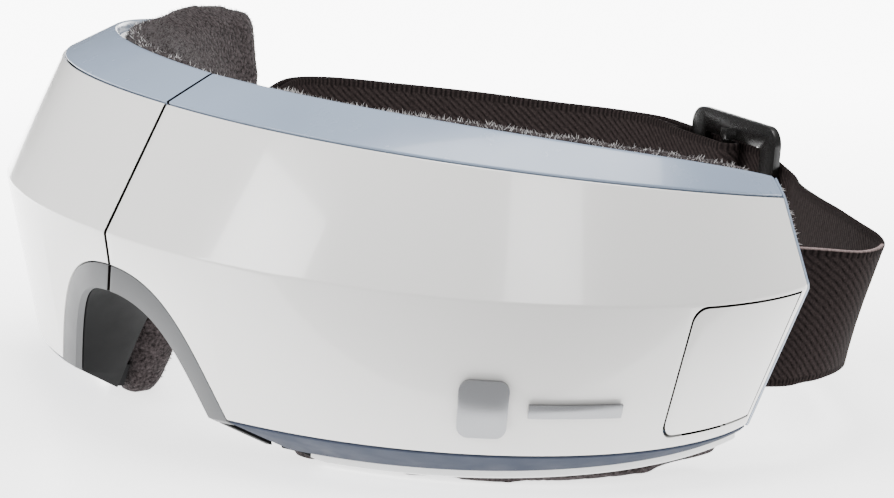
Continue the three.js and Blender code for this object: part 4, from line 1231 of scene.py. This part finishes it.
def build_end_loop():
    wrap = SLIDER["bar_radius"] + 0.25 + STRAP["thickness"] / 2
    lift = SLIDER["bar_lift"]
    angles = np.linspace(-math.pi / 2, math.pi / 2, 16)
    turn = [(-math.cos(a) * wrap, lift + math.sin(a) * wrap, 0) for a in angles]
    run = [(END_LOOP["back_ply"], lift - wrap, 0), *turn, (END_LOOP["front_ply"] / 2, lift + wrap - 0.1, 0),
           (END_LOOP["front_ply"], lift + STRAP["thickness"] + 0.4, 0)]
    loop = woven_band("sewn_end_loop", in_slider_frame(run), lambda point: np.array([0, 0, 1.0]))
    hard(loop, "slider", "strap_end_loop", "webbing")


build_slider()
build_end_loop()

# ---- camera, floor and light ----

CAMERA = {"target": (0.05104, -0.04237, 0.04285), "azimuth": 52.657, "elevation": 13.358,
          "roll": 0.604, "distance": 0.9698, "lens": 204.39}
LIGHT_TARGET = Vector((0, 0, 0.03))
FLOOR_NEAR, FLOOR_FAR = 2.2, 8.0  # the floor's own light in front of the mask and behind it
FLOOR_GRADE = (0.02, 0.3)
WORLD_LIGHT = 0.45
GROUND_CARD = {"start": 0.046, "depth": 0.55, "width": 0.7, "lift": 0.0004}


def add_camera():
    azimuth, elevation = math.radians(CAMERA["azimuth"]), math.radians(CAMERA["elevation"])
    level = math.cos(elevation)
    back = Vector((math.sin(azimuth) * level, -math.cos(azimuth) * level, math.sin(elevation)))
    data = bpy.data.cameras.new("camera")
    data.lens = CAMERA["lens"]
    data.sensor_width = 36
    data.clip_start = 0.01
    camera = linked("camera", data)
    camera.location = Vector(CAMERA["target"]) + back * CAMERA["distance"]
    turn = back.to_track_quat("Z", "Y").to_matrix().to_4x4()
    roll = Matrix.Rotation(math.radians(CAMERA["roll"]), 4, "Z")
    camera.matrix_world = Matrix.Translation(camera.location) @ turn @ roll
    bpy.context.scene.camera = camera


def add_area(name, location, size, power):
    light = bpy.data.lights.new(name, "AREA")
    light.shape = "RECTANGLE"
    light.size, light.size_y = size
    light.energy = power
    obj = linked(name, light)
    obj.location = location
    obj.rotation_euler = (LIGHT_TARGET - Vector(location)).to_track_quat("-Z", "Y").to_euler()


def floor_material():
    """A pale floor whose own light grows towards the back, so that the ground reads as nearly white."""
    material, tree, shader = node_material("floor_pale", (0.95, 0.95, 0.95), 0.3)
    azimuth = math.radians(CAMERA["azimuth"])
    coords = tree.nodes.new("ShaderNodeTexCoord")
    behind = tree.nodes.new("ShaderNodeVectorMath")
    behind.operation = "DOT_PRODUCT"
    behind.inputs[1].default_value = (-math.sin(azimuth), math.cos(azimuth), 0)
    tree.links.new(coords.outputs["Object"], behind.inputs[0])
    shader.inputs["Emission Color"].default_value = (1, 1, 1, 1)
    grade = ramp(tree, behind.outputs["Value"], FLOOR_NEAR, FLOOR_FAR, *FLOOR_GRADE)
    tree.links.new(grade, shader.inputs["Emission Strength"])
    return material


def add_studio():
    add_plane("floor", (0, 0, -0.0003), (6, 6), (0, 0, 0), floor_material())
    world = bpy.data.worlds.new("studio")
    world.use_nodes = True
    set_inputs(world.node_tree.nodes["Background"], {"Color": (1, 1, 1, 1), "Strength": WORLD_LIGHT})
    bpy.context.scene.world = world
    add_area("overhead", (0.05, 0.1, 0.9), (0.7, 0.7), 14)
    add_area("front_left", (-0.3, -1.0, 0.5), (0.45, 0.45), 9)
    add_area("front_right", (0.9, -0.5, 0.7), (0.4, 0.4), 4)
    facing = Vector((0.9, -0.35, 0)).to_track_quat("Z", "Y").to_euler()
    dark = node_material("left_card_dark", (0.02, 0.02, 0.02), 0.9)[0]
    add_plane("left_card", (-0.55, 0.12, 0.14), (0.3, 0.3), facing, dark)
    add_ground_card()


def add_ground_card():
    """A grey card on the floor in front of the mask, nearer than the view reaches."""
    azimuth = math.radians(CAMERA["azimuth"])
    forward = Vector((math.sin(azimuth), -math.cos(azimuth), 0))
    centre = Vector((*CAMERA["target"][:2], GROUND_CARD["lift"]))
    centre += forward * (GROUND_CARD["start"] + GROUND_CARD["depth"] / 2)
    size = (GROUND_CARD["width"], GROUND_CARD["depth"])
    grey = node_material("ground_card_grey", (0.45, 0.45, 0.455), 0.8)[0]
    add_plane("ground_card", centre, size, (0, 0, azimuth), grey)


def add_plane(name, location, size, turn, material):
    bpy.ops.mesh.primitive_plane_add(size=1, location=location)
    plane = bpy.context.object
    plane.name = name
    plane.data.transform(Matrix.Diagonal((*size, 1, 1)))
    plane.rotation_euler = turn
    plane.data.materials.append(material)


add_camera()
add_studio()
